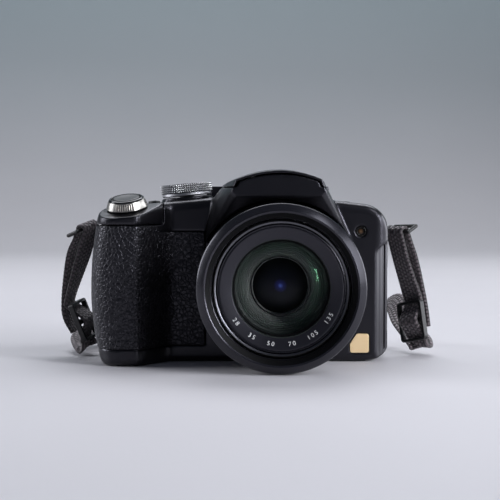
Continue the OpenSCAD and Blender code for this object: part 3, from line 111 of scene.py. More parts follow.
def deselect():
    bpy.ops.object.select_all(action="DESELECT")


def only(piece):
    """Makes one piece the selected and active one."""
    deselect()
    piece.select_set(True)
    bpy.context.view_layer.objects.active = piece


def photo_camera():
    """Camera straight in front of the object, at about its own height and tipped slightly down."""
    deselect()
    bpy.ops.object.camera_add(location=(-0.0114, -0.561, 0.0634), rotation=(math.radians(87.94), 0, 0))
    camera = bpy.context.object
    camera.name = "photo_camera"
    camera.data.sensor_width = 36
    camera.data.lens = 100.15
    camera.data.clip_start = 0.01
    bpy.context.scene.camera = camera


def softbox(name, at, to, size, power, tint=(1, 1, 1), spread=180):
    """Rectangular lamp; a spread below 180 degrees is a grid that keeps its light off the floor."""
    deselect()
    bpy.ops.object.light_add(type="AREA", location=at)
    lamp = bpy.context.object
    lamp.name = name
    lamp.data.shape = "RECTANGLE"
    lamp.data.size, lamp.data.size_y = size
    lamp.data.energy = power
    lamp.data.color = tint
    lamp.data.spread = math.radians(spread)
    lamp.rotation_euler = (Vector(to) - Vector(at)).to_track_quat("-Z", "Y").to_euler()


# Shader maths

class Wire:
    """One output socket of a finish. Arithmetic on it adds Math nodes."""

    def __init__(self, finish, socket):
        self.finish = finish
        self.socket = socket

    def math(self, operation, *values):
        """A Math node on those values, of which self may be one."""
        return self.finish.node("ShaderNodeMath", {"operation": operation}, dict(enumerate(values)))

    def __add__(self, other):
        return self.math("ADD", self, other)

    def __radd__(self, other):
        return self.math("ADD", other, self)

    def __sub__(self, other):
        return self.math("SUBTRACT", self, other)

    def __rsub__(self, other):
        return self.math("SUBTRACT", other, self)

    def __mul__(self, other):
        return self.math("MULTIPLY", self, other)

    def __rmul__(self, other):
        return self.math("MULTIPLY", other, self)

    def __pow__(self, other):
        return self.math("POWER", self, other)


class Finish:
    """A procedural material: fixed values on its Principled shader, and nodes that vary some of them."""

    def __init__(self, name, values):
        self.material = bpy.data.materials.new(name)
        self.material.use_nodes = True
        self.tree = self.material.node_tree
        self.shader = self.tree.nodes["Principled BSDF"]
        for socket, value in values.items():
            self.shader.inputs[socket].default_value = value
        self.place = self.node("ShaderNodeTexCoord", out="Object")

    def node(self, kind, settings=None, sockets=None, out=0):
        """Adds a node: its settings first, then the values or links of its sockets. Gives one output."""
        made = self.tree.nodes.new(kind)
        for key, value in (settings or {}).items():
            if key == "stops":
                ramp = made.color_ramp
                while len(ramp.elements) < len(value):
                    ramp.elements.new(0.5)
                for element, (position, colour) in zip(ramp.elements, value):
                    element.position = position
                    element.color = (*colour, 1)
            else:
                setattr(made, key, value)
        for key, value in (sockets or {}).items():
            if isinstance(value, Wire):
                self.tree.links.new(value.socket, made.inputs[key])
            else:
                made.inputs[key].default_value = value
        return Wire(self, made.outputs[out])

    def vary(self, socket, wire):
        """Lets a wire set one input of the shader."""
        self.tree.links.new(wire.socket, self.shader.inputs[socket])

    def noise(self, size, detail, at=None, out=0):
        """Cloudy noise whose features are about size millimetres across."""
        sockets = {"Vector": at or self.place, "Scale": 1000 / size, "Detail": detail}
        return self.node("ShaderNodeTexNoise", None, sockets, out)

    def cells(self, size, feature, at=None):
        """Distance within cells about size millimetres across."""
        sockets = {"Vector": at or self.place, "Scale": 1000 / size}
        return self.node("ShaderNodeTexVoronoi", {"feature": feature}, sockets, "Distance")

    def between(self, wire, low, high):
        """0 below low, 1 above high, smooth in between."""
        sockets = {"Value": wire, "From Min": low, "From Max": high}
        return self.node("ShaderNodeMapRange", {"interpolation_type": "SMOOTHSTEP"}, sockets)

    def blend(self, amount, first, second):
        """First colour at 0, second at 1."""
        sockets = {0: amount, 6: first if isinstance(first, Wire) else (*first, 1),
                   7: second if isinstance(second, Wire) else (*second, 1)}
        return self.node("ShaderNodeMix", {"data_type": "RGBA"}, sockets, 2)

    def warped(self, size, reach):
        """Coordinates pushed about by noise of that size, by up to reach millimetres."""
        push = self.noise(size, 2.0, out="Color")
        return self.node("ShaderNodeVectorMath", {"operation": "MULTIPLY_ADD"},
                         {0: push, 1: (reach * MM,) * 3, 2: self.place})

    def axis(self, which):
        """One coordinate of the place, in metres."""
        return self.node("ShaderNodeSeparateXYZ", None, {0: self.place}, which)

    def relief(self, height, depth):
        """Bump of a 0 to 1 height, depth millimetres deep."""
        self.vary("Normal", self.node("ShaderNodeBump", None, {"Height": height, "Distance": depth * MM}))


# Finishes

def speckled(name, dark, light, rough, grain, depth, metal=0.0, **fixed):
    """A finish with a grain of that size and depth, and slow changes of colour and gloss from handling."""
    finish = Finish(name, {"Metallic": metal, **{k.replace("_", " "): v for k, v in fixed.items()}})
    slow = finish.noise(14.0, 4.0)
    fine = finish.noise(grain, 2.0)
    finish.vary("Base Color", finish.blend(slow, dark, light))
    finish.vary("Roughness", slow * 0.12 + fine * 0.06 + (rough - 0.09))
    finish.relief(fine, depth)
    return finish


# Tint of the reflections on the black of case, lens and grip
VIOLET = (0.90, 0.88, 1.0, 1)

case_satin = speckled("case_satin", (0.0026, 0.0026, 0.0033), (0.0042, 0.0041, 0.0052), 0.31, 0.16, 0.004,
                      Specular_Tint=VIOLET)
key_satin = speckled("key_satin", (0.007, 0.007, 0.008), (0.012, 0.012, 0.013), 0.34, 0.12, 0.003)
buckle_black = speckled("buckle_black", (0.007, 0.007, 0.007), (0.014, 0.014, 0.014), 0.38, 0.2, 0.006)
eyecup_rubber = speckled("eyecup_rubber", (0.009, 0.009, 0.009), (0.016, 0.016, 0.016), 0.62, 0.2, 0.012)
gloss_black = speckled("gloss_black", (0.004, 0.004, 0.005), (0.007, 0.007, 0.008), 0.13, 0.3, 0.0005)
button_satin = speckled("button_satin", (0.006, 0.006, 0.007), (0.010, 0.010, 0.011), 0.34, 0.2, 0.002,
                        Specular_IOR_Level=0.3)
ring_satin = speckled("ring_satin", (0.007, 0.007, 0.009), (0.011, 0.011, 0.014), 0.22, 0.1, 0.001,
                      Specular_Tint=VIOLET)
# Near-black with little gloss: painted shade on the thread lining in the ring's mouth and on the rim round
# the front glass, both in recesses.
recess_shade_black = speckled("recess_shade_black", (0.0014, 0.0014, 0.0018), (0.0022, 0.0022, 0.0027), 0.5, 0.1, 0.002,
                        Specular_IOR_Level=0.10)
edge_metal = speckled("edge_metal", (0.09, 0.09, 0.10), (0.13, 0.13, 0.145), 0.30, 0.1, 0.001, metal=1.0)
tube_satin = speckled("tube_satin", (0.004, 0.004, 0.0046), (0.007, 0.007, 0.0076), 0.26, 0.1, 0.002)
name_satin = speckled("name_satin", (0.0055, 0.0055, 0.0075), (0.0075, 0.0075, 0.010), 0.36, 0.09, 0.003,
                      Specular_Tint=VIOLET)
lever_satin = speckled("lever_satin", (0.40, 0.385, 0.355), (0.48, 0.465, 0.43), 0.30, 0.2, 0.002, metal=1.0)
# Lighter than the lever and less metallic: painted highlight on its ribs.
rib_highlight_satin = speckled("rib_highlight_satin", (0.60, 0.56, 0.50), (0.68, 0.64, 0.58), 0.30, 0.2, 0.002, metal=0.55)
silver = speckled("silver", (0.32, 0.32, 0.335), (0.40, 0.40, 0.415), 0.46, 0.12, 0.004, metal=1.0)
steel = speckled("steel", (0.52, 0.52, 0.53), (0.66, 0.66, 0.67), 0.30, 0.15, 0.003, metal=1.0)
milled = speckled("milled", (0.40, 0.40, 0.42), (0.52, 0.52, 0.54), 0.42, 0.2, 0.006, metal=0.9)
white_print = speckled("white_print", (0.66, 0.66, 0.65), (0.78, 0.78, 0.77), 0.5, 0.1, 0.004)
gear_nylon = speckled("gear_nylon", (0.70, 0.68, 0.61), (0.80, 0.78, 0.71), 0.45, 0.3, 0.006)
cell_wrap = speckled("cell_wrap", (0.045, 0.047, 0.055), (0.07, 0.072, 0.08), 0.45, 0.4, 0.006)
card_blue = speckled("card_blue", (0.02, 0.03, 0.09), (0.03, 0.045, 0.13), 0.40, 0.3, 0.004)
mirror_foil = speckled("mirror_foil", (0.70, 0.70, 0.70), (0.80, 0.80, 0.80), 0.14, 0.6, 0.004, metal=1.0)


def leather_finish():
    """Rubber with a leather grain: pebbles over a millimetre across, parted by creases."""
    finish = Finish("grip_leather", {"Specular Tint": VIOLET})
    pebble, patch, crease_width = 1.55, 4.2, 0.16
    bent = finish.warped(2.6, 0.8)
    middle = finish.cells(pebble, "F1", bent)
    crease = finish.between(finish.cells(pebble, "DISTANCE_TO_EDGE", bent), 0.0, crease_width)
    fold = finish.between(finish.cells(patch, "DISTANCE_TO_EDGE", bent), 0.0, crease_width)
    dome = 1 - middle * middle
    height = dome * 0.42 + crease * 0.38 + fold * 0.20
    # Painted light and shade: darker down in the creases, lighter on the pebble tops.
    finish.vary("Base Color", finish.blend(crease * dome, (0.0005, 0.0005, 0.0007), (0.0080, 0.0077, 0.0089)))
    finish.vary("Roughness", 0.46 - crease * 0.18)
    finish.relief(height, 0.32)
    return finish


def gold_finish():
    """Gold plate, brushed from side to side."""
    finish = Finish("gold_plate", {"Metallic": 0.2})
    streak = finish.node("ShaderNodeMapping", None, {"Vector": finish.place, "Scale": (0.06, 1, 1)})
    brushed = finish.noise(0.16, 3.0, streak)
    finish.vary("Base Color", finish.blend(brushed, (0.94, 0.67, 0.35), (1.0, 0.78, 0.48)))
    finish.vary("Roughness", 0.30 + brushed * 0.18)
    finish.relief(brushed, 0.006)
    return finish


def amber_finish():
    """Small lamp lens, brown in its middle and black round its rim."""
    finish = Finish("amber_lens", {"Specular IOR Level": 0.3})
    low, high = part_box("af_lamp")
    x = finish.axis("X") - (low.x + high.x) / 2
    z = finish.axis("Z") - (low.z + high.z) / 2
    reach = ((x * x + z * z) ** 0.5) * (2 / (high.x - low.x))
    ribs = finish.noise(0.5, 2.0)
    finish.vary("Base Color", finish.node("ShaderNodeValToRGB", {"stops": [
        (0.0, (0.13, 0.075, 0.036)), (0.34, (0.06, 0.032, 0.015)), (0.6, (0.006, 0.005, 0.004))]},
        {0: reach + ribs * 0.1}))
    finish.vary("Roughness", 0.18 + ribs * 0.12)
    return finish


def lens_reach(finish, radius):
    """Distance from the lens axis, 1 at that radius."""
    x = finish.axis("X")
    z = finish.axis("Z") - LENS_Z * MM
    return ((x * x + z * z) ** 0.5) * (1000 / radius)


def clear_glass(name, values, dark, light):
    """Polished glass under a thin uneven film, and the film, from which its alpha is made."""
    finish = Finish(name, values)
    film = finish.noise(6.0, 2.0)
    finish.vary("Base Color", finish.blend(film, dark, light))
    finish.vary("Roughness", 0.02 + film * 0.03)
    finish.material.surface_render_method = "BLENDED"
    return finish, film


def front_glass_finish():
    """Coated front glass: clear in its middle, with a green gloss towards its rim."""
    values = {"IOR": 1.8, "Specular Tint": (0.40, 1.0, 0.58, 1)}
    finish, film = clear_glass("front_glass", values, (0.002, 0.003, 0.003), (0.003, 0.005, 0.005))
    finish.vary("Alpha", finish.between(lens_reach(finish, GLASS_R), 0.58, 0.85) * 0.15 + film * 0.01)
    return finish


def finder_glass_finish():
    """Eyepiece glass, half clear over the dark finder."""
    finish, film = clear_glass("finder_glass", {"IOR": 1.6}, (0.012, 0.014, 0.018), (0.019, 0.022, 0.029))
    finish.vary("Alpha", film * 0.05 + 0.45)
    return finish


def painted_glint_finish():
    """Deep lens, black but for a painted blue reflection of a lamp in its middle."""
    finish = Finish("painted_glint_glass", {"Specular IOR Level": 0.25})
    reach = lens_reach(finish, SECOND_R)
    film = finish.noise(5.0, 2.0)
    # Painted reflection: a blue glint in the middle that fades to black towards the rim.
    finish.vary("Base Color", finish.node("ShaderNodeValToRGB", {"stops": [
        (0.06, (0.12, 0.20, 0.85)), (0.15, (0.022, 0.03, 0.22)), (0.30, (0.003, 0.004, 0.014)),
        (1.0, (0.0012, 0.0014, 0.0016))]}, {0: reach + film * 0.1}))
    finish.vary("Roughness", 0.30 + film * 0.1)
    return finish


def cone_finish():
    """Ribbed grey-green cone behind the front lens, with painted shade that darkens it towards its mouth."""
    finish = Finish("lens_cone", {})
    slow = finish.noise(9.0, 3.0)
    fine = finish.noise(0.2, 2.0)
    # Painted shade: darker towards the mouth of the cone, by the distance from the lens axis.
    mouth = finish.between(lens_reach(finish, GLASS_R - 0.6) + slow * 0.08, 0.66, 1.06)
    finish.vary("Base Color", finish.blend(mouth, (0.120, 0.128, 0.122), (0.020, 0.026, 0.024)))
    finish.vary("Roughness", 0.40 + fine * 0.1)
    finish.relief(fine, 0.004)
    return finish


def knurl_finish():
    """Cut silver with painted light and shade: bright on the points, dark down in the grooves, by the
    distance from the dial's axis.
    """
    finish = Finish("knurl_silver", {"Metallic": 0.7})
    axis = (-math.sin(POD_LEAN), 0, math.cos(POD_LEAN))
    arm = finish.node("ShaderNodeVectorMath", {"operation": "SUBTRACT"},
                      {0: finish.place, 1: DIAL_AT * MM})
    square = finish.node("ShaderNodeVectorMath", {"operation": "CROSS_PRODUCT"}, {0: arm, 1: axis})
    radius = finish.node("ShaderNodeVectorMath", {"operation": "LENGTH"}, {0: square}, "Value")
    point = finish.between(radius, KNURL_R * MM, (KNURL_R + 0.18) * MM)
    fine = finish.noise(0.3, 2.0)
    # Painted shade in the grooves, painted highlight on the points.
    finish.vary("Base Color", finish.blend(point, (0.05, 0.05, 0.055), (0.86, 0.86, 0.86)))
    finish.vary("Roughness", 0.34 + fine * 0.12)
    return finish


def weave_finish(name, dark, light, across, along):
    """Webbing on the strip's own map: u in millimetres across, v in millimetres along."""
    finish = Finish(name, {"Sheen Weight": 0.25, "Sheen Roughness": 0.6})
    flat = finish.node("ShaderNodeTexCoord", out="UV")
    u = finish.node("ShaderNodeSeparateXYZ", None, {0: flat}, "X") * (1 / across)
    v = finish.node("ShaderNodeSeparateXYZ", None, {0: flat}, "Y") * (1 / along)
    row = u.math("FLOOR", u)
    shift = row.math("MODULO", row, 2.0) * 0.5
    warp = u.math("ABSOLUTE", u.math("SINE", u * math.pi))
    hump = v.math("ABSOLUTE", v.math("SINE", (v + shift) * math.pi))
    fuzz = finish.noise(0.3, 3.0)
    height = warp * hump
    # Painted light and shade: dark in the gaps between the yarns, light on their crowns.
    finish.vary("Base Color", finish.blend(height * 0.9 + fuzz * 0.12, dark, light))
    finish.vary("Roughness", 0.72 - height * 0.14)
    finish.relief(height + fuzz * 0.12, 0.5)
    return finish


def wire_finish():
    """Ring wire: black paint, worn to bare steel near the case."""
    finish = Finish("worn_wire", {})
    low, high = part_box("rear_cover")
    middle = (low.x + high.x) / 2
    x = finish.axis("X") - middle
    wear = finish.noise(0.8, 3.0)
    edge = (high.x - low.x) / 2 + LUG_REACH * MM
    bare = 1 - finish.between(x.math("ABSOLUTE", x) + wear * MM, edge - 0.8 * MM, edge + 0.8 * MM)
    finish.vary("Base Color", finish.blend(bare, (0.010, 0.010, 0.010), (0.62, 0.62, 0.63)))
    finish.vary("Metallic", bare)
    finish.vary("Roughness", 0.36 - bare * 0.12 + wear * 0.06)
    return finish


def circuit_finish():
    """Circuit board: tracks under a green lacquer."""
    finish = Finish("circuit", {"Coat Weight": 0.3})
    track = finish.between(finish.cells(2.2, "DISTANCE_TO_EDGE"), 0.04, 0.10)
    fine = finish.noise(0.5, 2.0)
    finish.vary("Base Color", finish.blend(track, (0.07, 0.20, 0.07), (0.02, 0.09, 0.045)))
    finish.vary("Roughness", 0.32 + fine * 0.2)
    finish.relief(1 - track, 0.03)
    return finish


def display_finish(name, tint):
    """Glossy dark face of a display or a sensor."""
    finish = Finish(name, {"Coat Weight": 0.7, "Coat Roughness": 0.03})
    film = finish.noise(7.0, 2.0)
    finish.vary("Base Color", finish.blend(film, tint, tuple(c * 1.4 for c in tint)))
    finish.vary("Roughness", 0.08 + film * 0.08)
    return finish


def floor_finish():
    """Pale floor that turns cooler up the backdrop."""
    finish = Finish("pale_floor", {})
    slow = finish.noise(160.0, 3.0)
    fine = finish.noise(1.5, 3.0)
    floor = finish.blend(slow, (0.62, 0.605, 0.625), (0.67, 0.655, 0.675))
    wall = finish.between(finish.axis("Z"), 0.0, 0.5)
    finish.vary("Base Color", finish.blend(wall, floor, (0.47, 0.56, 0.59)))
    finish.vary("Roughness", 0.52 + fine * 0.1)
    finish.relief(fine, 0.02)
    return finish


grip_leather = leather_finish()
gold_plate = gold_finish()
amber_lens = amber_finish()
front_glass = front_glass_finish()
finder_glass = finder_glass_finish()
painted_glint_glass = painted_glint_finish()
lens_cone = cone_finish()
knurl_silver = knurl_finish()
web_weave = weave_finish("web_weave", (0.006, 0.005, 0.005), (0.225, 0.180, 0.195), WEB_W / 6, 1.7)
band_weave = weave_finish("band_weave", (0.010, 0.0095, 0.0095), (0.04, 0.038, 0.037), 0.7, 1.0)
worn_wire = wire_finish()
circuit = circuit_finish()
panel_dark = display_finish("panel_dark", (0.011, 0.012, 0.015))
sensor_blue = display_finish("sensor_blue", (0.03, 0.035, 0.075))
pale_floor = floor_finish()


def dress(piece, finish):
    """Gives a piece or a solid one finish all over."""
    piece.data.materials.clear()
    piece.data.materials.append(finish.material)


def fit(piece, body, finish, slot, *stands_for):
    """Gives a finished piece its body, its material and the solids that it stands for."""
    dress(piece, finish)
    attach(piece, body)
    if stands_for:
        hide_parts(*stands_for)


# Ways of making a piece

# Points closer than this are one, in metres
WELD = 0.000002


def apply_modifier(piece, kind, **settings):
    """Adds a modifier with those settings and applies it."""
    only(piece)
    modifier = piece.modifiers.new(kind.lower(), kind)
    for key, value in settings.items():
        setattr(modifier, key, value)
    bpy.ops.object.modifier_apply(modifier=modifier.name)


def moulded(node, name, voxel, passes):
    """A moulding with rounded edges: a merged copy of a solid, remeshed and then smoothed in passes."""
    piece = bpy.data.objects.new(name, nodes[node].data.copy())
    bpy.context.scene.collection.objects.link(piece)
    only(piece)
    bpy.ops.object.mode_set(mode="EDIT")
    bpy.ops.mesh.select_all(action="SELECT")
    bpy.ops.mesh.remove_doubles(threshold=2 * WELD)
    bpy.ops.object.mode_set(mode="OBJECT")
    apply_modifier(piece, "REMESH", mode="VOXEL", voxel_size=voxel * MM)
    apply_modifier(piece, "SMOOTH", factor=0.5, iterations=passes)
    bpy.ops.object.shade_smooth()
    return piece


def lens_frame():
    """Local Z ahead along the lens axis, local Y up."""
    return Matrix.Translation((0, 0, LENS_Z * MM)) @ Matrix.Rotation(math.radians(90), 4, "X")


def dial_frame():
    """Local Z up along the dial's axis."""
    return Matrix.Translation(DIAL_AT * MM) @ Matrix.Rotation(-POD_LEAN, 4, "Y")


def shutter_frame():
    """Local Z up along the axis of the shutter button and its lever."""
    lean = Matrix.Rotation(-POD_LEAN, 4, "Y")
    return Matrix.Translation(SHUTTER_AT * MM) @ lean @ Matrix.Rotation(POD_PITCH, 4, "X")


def round_axis(radius, degrees, height, facing=0):
    """Place on a circle about local Z: its X points outwards, and is then turned by facing degrees."""
    out = Matrix.Rotation(math.radians(degrees), 4, "Z") @ Matrix.Translation((radius * MM, 0, height * MM))
    return out @ Matrix.Rotation(math.radians(facing), 4, "Z")


def settle(piece, place):
    """Puts a piece modelled at the origin into its place and leaves its object at the origin."""
    only(piece)
    piece.matrix_world = place
    bpy.ops.object.transform_apply(location=True, rotation=True, scale=True)


def turned(name, profile, place, steps, angle=32):
    """A piece turned about local Z from a closed profile of radius and height in millimetres."""
    deselect()
    points = [Vector((r * MM, 0, h * MM)) for r, h in profile]
    points.append(points[0])
    bpy.ops.mesh.primitive_plane_add(size=0.001, location=points[0])
    piece = bpy.context.object
    piece.name = name
    bpy.ops.object.transform_apply(location=True)
    bpy.ops.object.mode_set(mode="EDIT")
    bpy.ops.mesh.merge(type="CENTER")
    for start, end in zip(points, points[1:]):
        bpy.ops.mesh.extrude_region_move(TRANSFORM_OT_translate={"value": end - start})
    bpy.ops.mesh.select_all(action="SELECT")
    bpy.ops.mesh.remove_doubles(threshold=WELD)
    bpy.ops.mesh.spin(steps=steps, angle=2 * math.pi, center=(0, 0, 0), axis=(0, 0, 1))
    bpy.ops.mesh.select_all(action="SELECT")
    bpy.ops.mesh.remove_doubles(threshold=WELD)
    bpy.ops.mesh.normals_make_consistent(inside=False)
    bpy.ops.object.mode_set(mode="OBJECT")
    settle(piece, place)
    bpy.ops.object.shade_smooth_by_angle(angle=math.radians(angle))
    return piece


def rounded(profile, radius):
    """A closed profile with each corner cut to a small arc."""
    made = []
    n = len(profile)
    count = 3
    for k in range(n):
        before, here, after = (Vector(profile[(k + d) % n]) for d in (-1, 0, 1))
        a, b = before - here, after - here
        cut = min(radius, a.length * 0.4, b.length * 0.4)
        start, end = here + a.normalized() * cut, here + b.normalized() * cut
        for j in range(count + 1):
            t = j / count
            made.append(tuple(start * (1 - t) ** 2 + here * 2 * t * (1 - t) + end * t * t))
    return made


def block(name, size, bevel, segments=3, at=(0, 0, 0)):
    """A bevelled block, size, bevel and place in millimetres."""
    deselect()
    bpy.ops.mesh.primitive_cube_add(size=1, location=[c * MM for c in at])
    piece = bpy.context.object
    piece.name = name
    piece.scale = [c * MM for c in size]
    bpy.ops.object.transform_apply(location=True, rotation=True, scale=True)
    bpy.ops.object.mode_set(mode="EDIT")
    bpy.ops.mesh.select_all(action="SELECT")
    bpy.ops.mesh.bevel(offset=bevel * MM, segments=segments, affect="EDGES")
    bpy.ops.object.mode_set(mode="OBJECT")
    bpy.ops.object.shade_smooth_by_angle(angle=math.radians(40))
    return piece


def joined(name, pieces):
    """One piece of several."""
    deselect()
    for piece in pieces:
        piece.select_set(True)
    bpy.context.view_layer.objects.active = pieces[0]
    bpy.ops.object.join()
    pieces[0].name = name
    return pieces[0]


def copied(name, piece, places):
    """One piece of copies of a piece modelled at the origin, one at each place."""
    copies = []
    for place in places:
        copy = piece.copy()
        copy.data = piece.data.copy()
        bpy.context.scene.collection.objects.link(copy)
        settle(copy, place)
        copies.append(copy)
    bpy.data.objects.remove(piece)
    return joined(name, copies)


def figure(text, size, place):
    """Raised figures, lying in the place's XY plane."""
    deselect()
    bpy.ops.object.text_add(location=(0, 0, 0))
    piece = bpy.context.object
    piece.data.body = text
    piece.data.size = size * MM
    piece.data.align_x = "CENTER"
    piece.data.align_y = "CENTER"
    piece.data.extrude = 0.03 * MM
    piece.data.resolution_u = 3
    bpy.ops.object.convert(target="MESH")
    piece = bpy.context.object
    settle(piece, place)
    return piece


# Case

def make_case():
    """Covers, doors, skins and small plates, each moulded from its solid."""
    covers = [
        ("front_cover", "case_front", 0.5, "case"), ("rear_cover", "case_back", 0.5, "case"),
        ("top_cover", "case_top", 0.45, "case"), ("base_plate", "foot_plate", 0.45, "case"),
        ("flash_lid", "flash_crown", 0.3, "flash"), ("battery_door", "battery_flap", 0.22, "battery_door"),
        ("door_latch", "battery_catch", 0.12, "door_latch"),
        ("terminal_door", "terminal_flap", 0.28, "terminal_door")]
    for node, name, voxel, body in covers:
        fit(moulded(node, name, voxel, 5), body, case_satin, "body_plastic", node)
    fit(moulded("grip_rubber", "grip_skin", 0.42, 6), "case", grip_leather, "grip_rubber", "grip_rubber")
    fit(moulded("eyecup", "eye_shade", 0.34, 6), "case", eyecup_rubber, "grip_rubber", "eyecup")
    fit(moulded("badge_plate", "gold_tab", 0.12, 3), "case", gold_plate, "gold_plate", "badge_plate")
    fit(moulded("af_lamp", "assist_lamp", 0.09, 3), "case", amber_lens, "amber_lens", "af_lamp")


# Lens

def make_front_ring(place):
    """Wide ring with a sloping front, the accessory thread in its mouth and a lip behind the thread."""
    f = RING_FRONT
    shape = rounded([
        (MOUTH_R, f - 8), (BARREL_R + 0.02, f - 9), (BARREL_R + 0.04, f - 12), (RING_R - 1.2, f - 12),
        (RING_R, f - 9.5), (RING_R, f - 2.9), (RING_R - 0.15, f - 2.4), (RING_R - 0.5, f - 2.0),
        (MOUTH_R + 0.75, f), (MOUTH_R, f - 0.35)], 0.1)
    fit(turned("front_hoop", shape, place, 160), "case", ring_satin, "lens_black", "front_ring")

    turns, pitch, flank, depth = 4, 0.56, 0.23, 0.22
    shape = [(MOUTH_R - 0.02, f - 0.42), (THREAD_R, f - 1.5)]
    for k in range(turns):
        h = f - 1.65 - pitch * k
        shape += [(THREAD_R, h), (THREAD_R - depth, h - flank), (THREAD_R, h - 2 * flank)]
    shape += [(LIP_R, f - 4.2), (LIP_R, f - 8), (MOUTH_R - 0.02, f - 8)]
    fit(turned("thread_lining", shape, place, 160), "case", recess_shade_black, "lens_black", "front_ring")

    shape = rounded([(LIP_R + 0.01, f - 4.0), (LIP_R + 0.01, f - 4.19), (THREAD_R + 0.1, f - 4.19),
                     (THREAD_R + 0.1, f - 3.79)], 0.05)
    fit(turned("thread_lip", shape, place, 160), "case", ring_satin, "lens_black")


def make_barrel(place):
    """Fixed barrel with a flange at the case and two pairs of fine grooves."""
    inside, flange, groove, seat = BARREL_R - 1.78, BARREL_R + 0.72, BARREL_R - 0.22, RING_FRONT - 9.1
    shape = [(inside, 10), (flange, 10), (flange, 13.4), (BARREL_R, 13.5)]
    for h in (20.0, 21.2, 46.0, 47.2):
        shape += [(BARREL_R, h), (groove, h + 0.2), (groove, h + 0.5), (BARREL_R, h + 0.7)]
    shape += [(BARREL_R, seat), (inside, seat)]
    fit(turned("barrel", shape, place, 128), "case", case_satin, "lens_black", "fixed_barrel")


def make_tubes(place):
    """Outer tube with a bright edge, and the inner tube that slides in it."""
    t, r = TUBE_FRONT, TUBE_R
    shape = [(r - 1.2, 20), (r, 20), (r, t - 0.4), (r - 0.15, t - 0.25), (r - 0.65, t), (r - 0.75, t),
             (r - 1.35, t - 0.28), (r - 1.35, t - 1.6), (r - 1.2, t - 2), (r - 1.2, 21.6), (r - 6, 21.6),
             (r - 6, 20)]
    fit(turned("outer_sleeve", shape, place, 128), "tube_1", tube_satin, "lens_black", "outer_tube")
    shape = rounded([(r - 1.36, t - 0.27), (r - 0.72, t + 0.02), (r - 0.72, t - 0.1),
                     (r - 1.36, t - 0.45)], 0.03)
    fit(turned("sleeve_edge", shape, place, 128), "tube_1", edge_metal, "lens_black")

    r = INNER_R
    shape = [(r - 1.7, 24.4), (r, 24.4), (r, t - 0.3), (r - 0.1, t - 0.1), (r - 0.3, t), (r - 0.55, t - 0.06),
             (r - 0.6, t - 0.2), (r - 0.6, t - 1.8), (r - 1.7, t - 1.8)]
    fit(turned("inner_sleeve", shape, place, 128), "tube_2", ring_satin, "lens_black", "inner_tube")


def make_name_ring(place):
    """Sloping ring round the front glass, with plain focal figures on its lower half."""
    t = TUBE_FRONT
    shape = rounded([
        (GLASS_R + 0.3, t - 1.55), (GLASS_R + 0.6, t - 1.45), (INNER_R - 1.2, t - 0.25),
        (INNER_R - 0.65, t - 0.4), (INNER_R - 0.65, t - 1.75), (GLASS_R + 0.3, t - 1.75)], 0.08)
    fit(turned("name_hoop", shape, place, 128), "tube_2", name_satin, "lens_black", "name_ring")

    radius, height, spacing = 20.4, t - 0.81, 4.6
    slope = Matrix.Rotation(math.radians(-17.1), 4, "X")
    figures = []
    for text, degrees in (("28", -144), ("35", -122), ("50", -101), ("70", -79), ("105", -56), ("135", -32)):
        for k, character in enumerate(text):
            turn = degrees + (k - (len(text) - 1) / 2) * spacing
            figures.append(figure(character, 2.3, place @ round_axis(radius, turn, height, 90) @ slope))
    fit(joined("name_figures", figures), "tube_2", white_print, "lens_black")


def bowl(radius, middle, rise, count):
    """Section of a curved glass face, from its rim inwards. The rim lies rise ahead of the middle."""
    return [(radius * k / count, middle + rise * (k / count) ** 2) for k in range(count, -1, -1)]


def make_glass(place):
    """Front lens in its rim, the ribbed cell behind it, and the second lens in its retaining ring."""
    e, g, s = LENS_EDGE, GLASS_R, SECOND_R
    shape = bowl(g, e - 4.4, 1.2, 8)[::-1] + bowl(g, e + 5.2, -5.2, 16)
    fit(turned("front_element", shape, place, 96, 40), "tube_2", front_glass, "lens_glass", "front_lens")
    shape = rounded([(g - 0.7, e + 0.6), (g - 0.7, e + 1.1), (g + 0.05, e + 1.2), (g + 0.05, e + 0.6)], 0.08)
    fit(turned("glass_rim", shape, place, 128), "tube_2", recess_shade_black, "lens_black")

    back, cell_r = TUBE_FRONT - 1.85, INNER_R - 1.75
    shape = [(g + 0.1, back), (cell_r, back), (cell_r, e - 6), (g - 0.6, e - 6), (s + 2, e - 13),
             (s + 2, e - 18.2), (s + 0.02, e - 18.2), (s + 0.02, e - 13.9), (s + 0.3, e - 13.6),
             (s + 0.3, e - 12.6), (s + 0.5, e - 12.3), (s + 0.8, e - 12.3), (s + 0.95, e - 12.45)]
    for k in range(7):
        r, h = s + 1.1 + 0.68 * k, e - 12.1 + 1.03 * k
        shape += [(r, h), (r + 0.16, h + 0.55), (r + 0.5, h + 0.55)]
    shape += [(g - 1.3, e - 4.9), (g - 0.9, e - 4.6), (g + 0.1, e - 4.55)]
    fit(turned("lens_cell", shape, place, 96, 25), "tube_2", lens_cone, "lens_black", "lens_baffle")

    shape = rounded([(s + 0.32, e - 12.2), (s + 0.32, e - 12.0), (s + 0.9, e - 12.0),
                     (s + 0.9, e - 12.25)], 0.06)
    fit(turned("retaining_hoop", shape, place, 96), "tube_2", tube_satin, "lens_black")
    shape = [(0, e - 18), (s, e - 18)] + bowl(s, e - 13.2, -1.8, 16)
    fit(turned("second_element", shape, place, 96, 40), "tube_2", painted_glint_glass, "lens_glass", "second_lens")


def make_lens():
    place = lens_frame()
    make_front_ring(place)
    make_barrel(place)
    make_tubes(place)
    make_name_ring(place)
    make_glass(place)


# Top controls

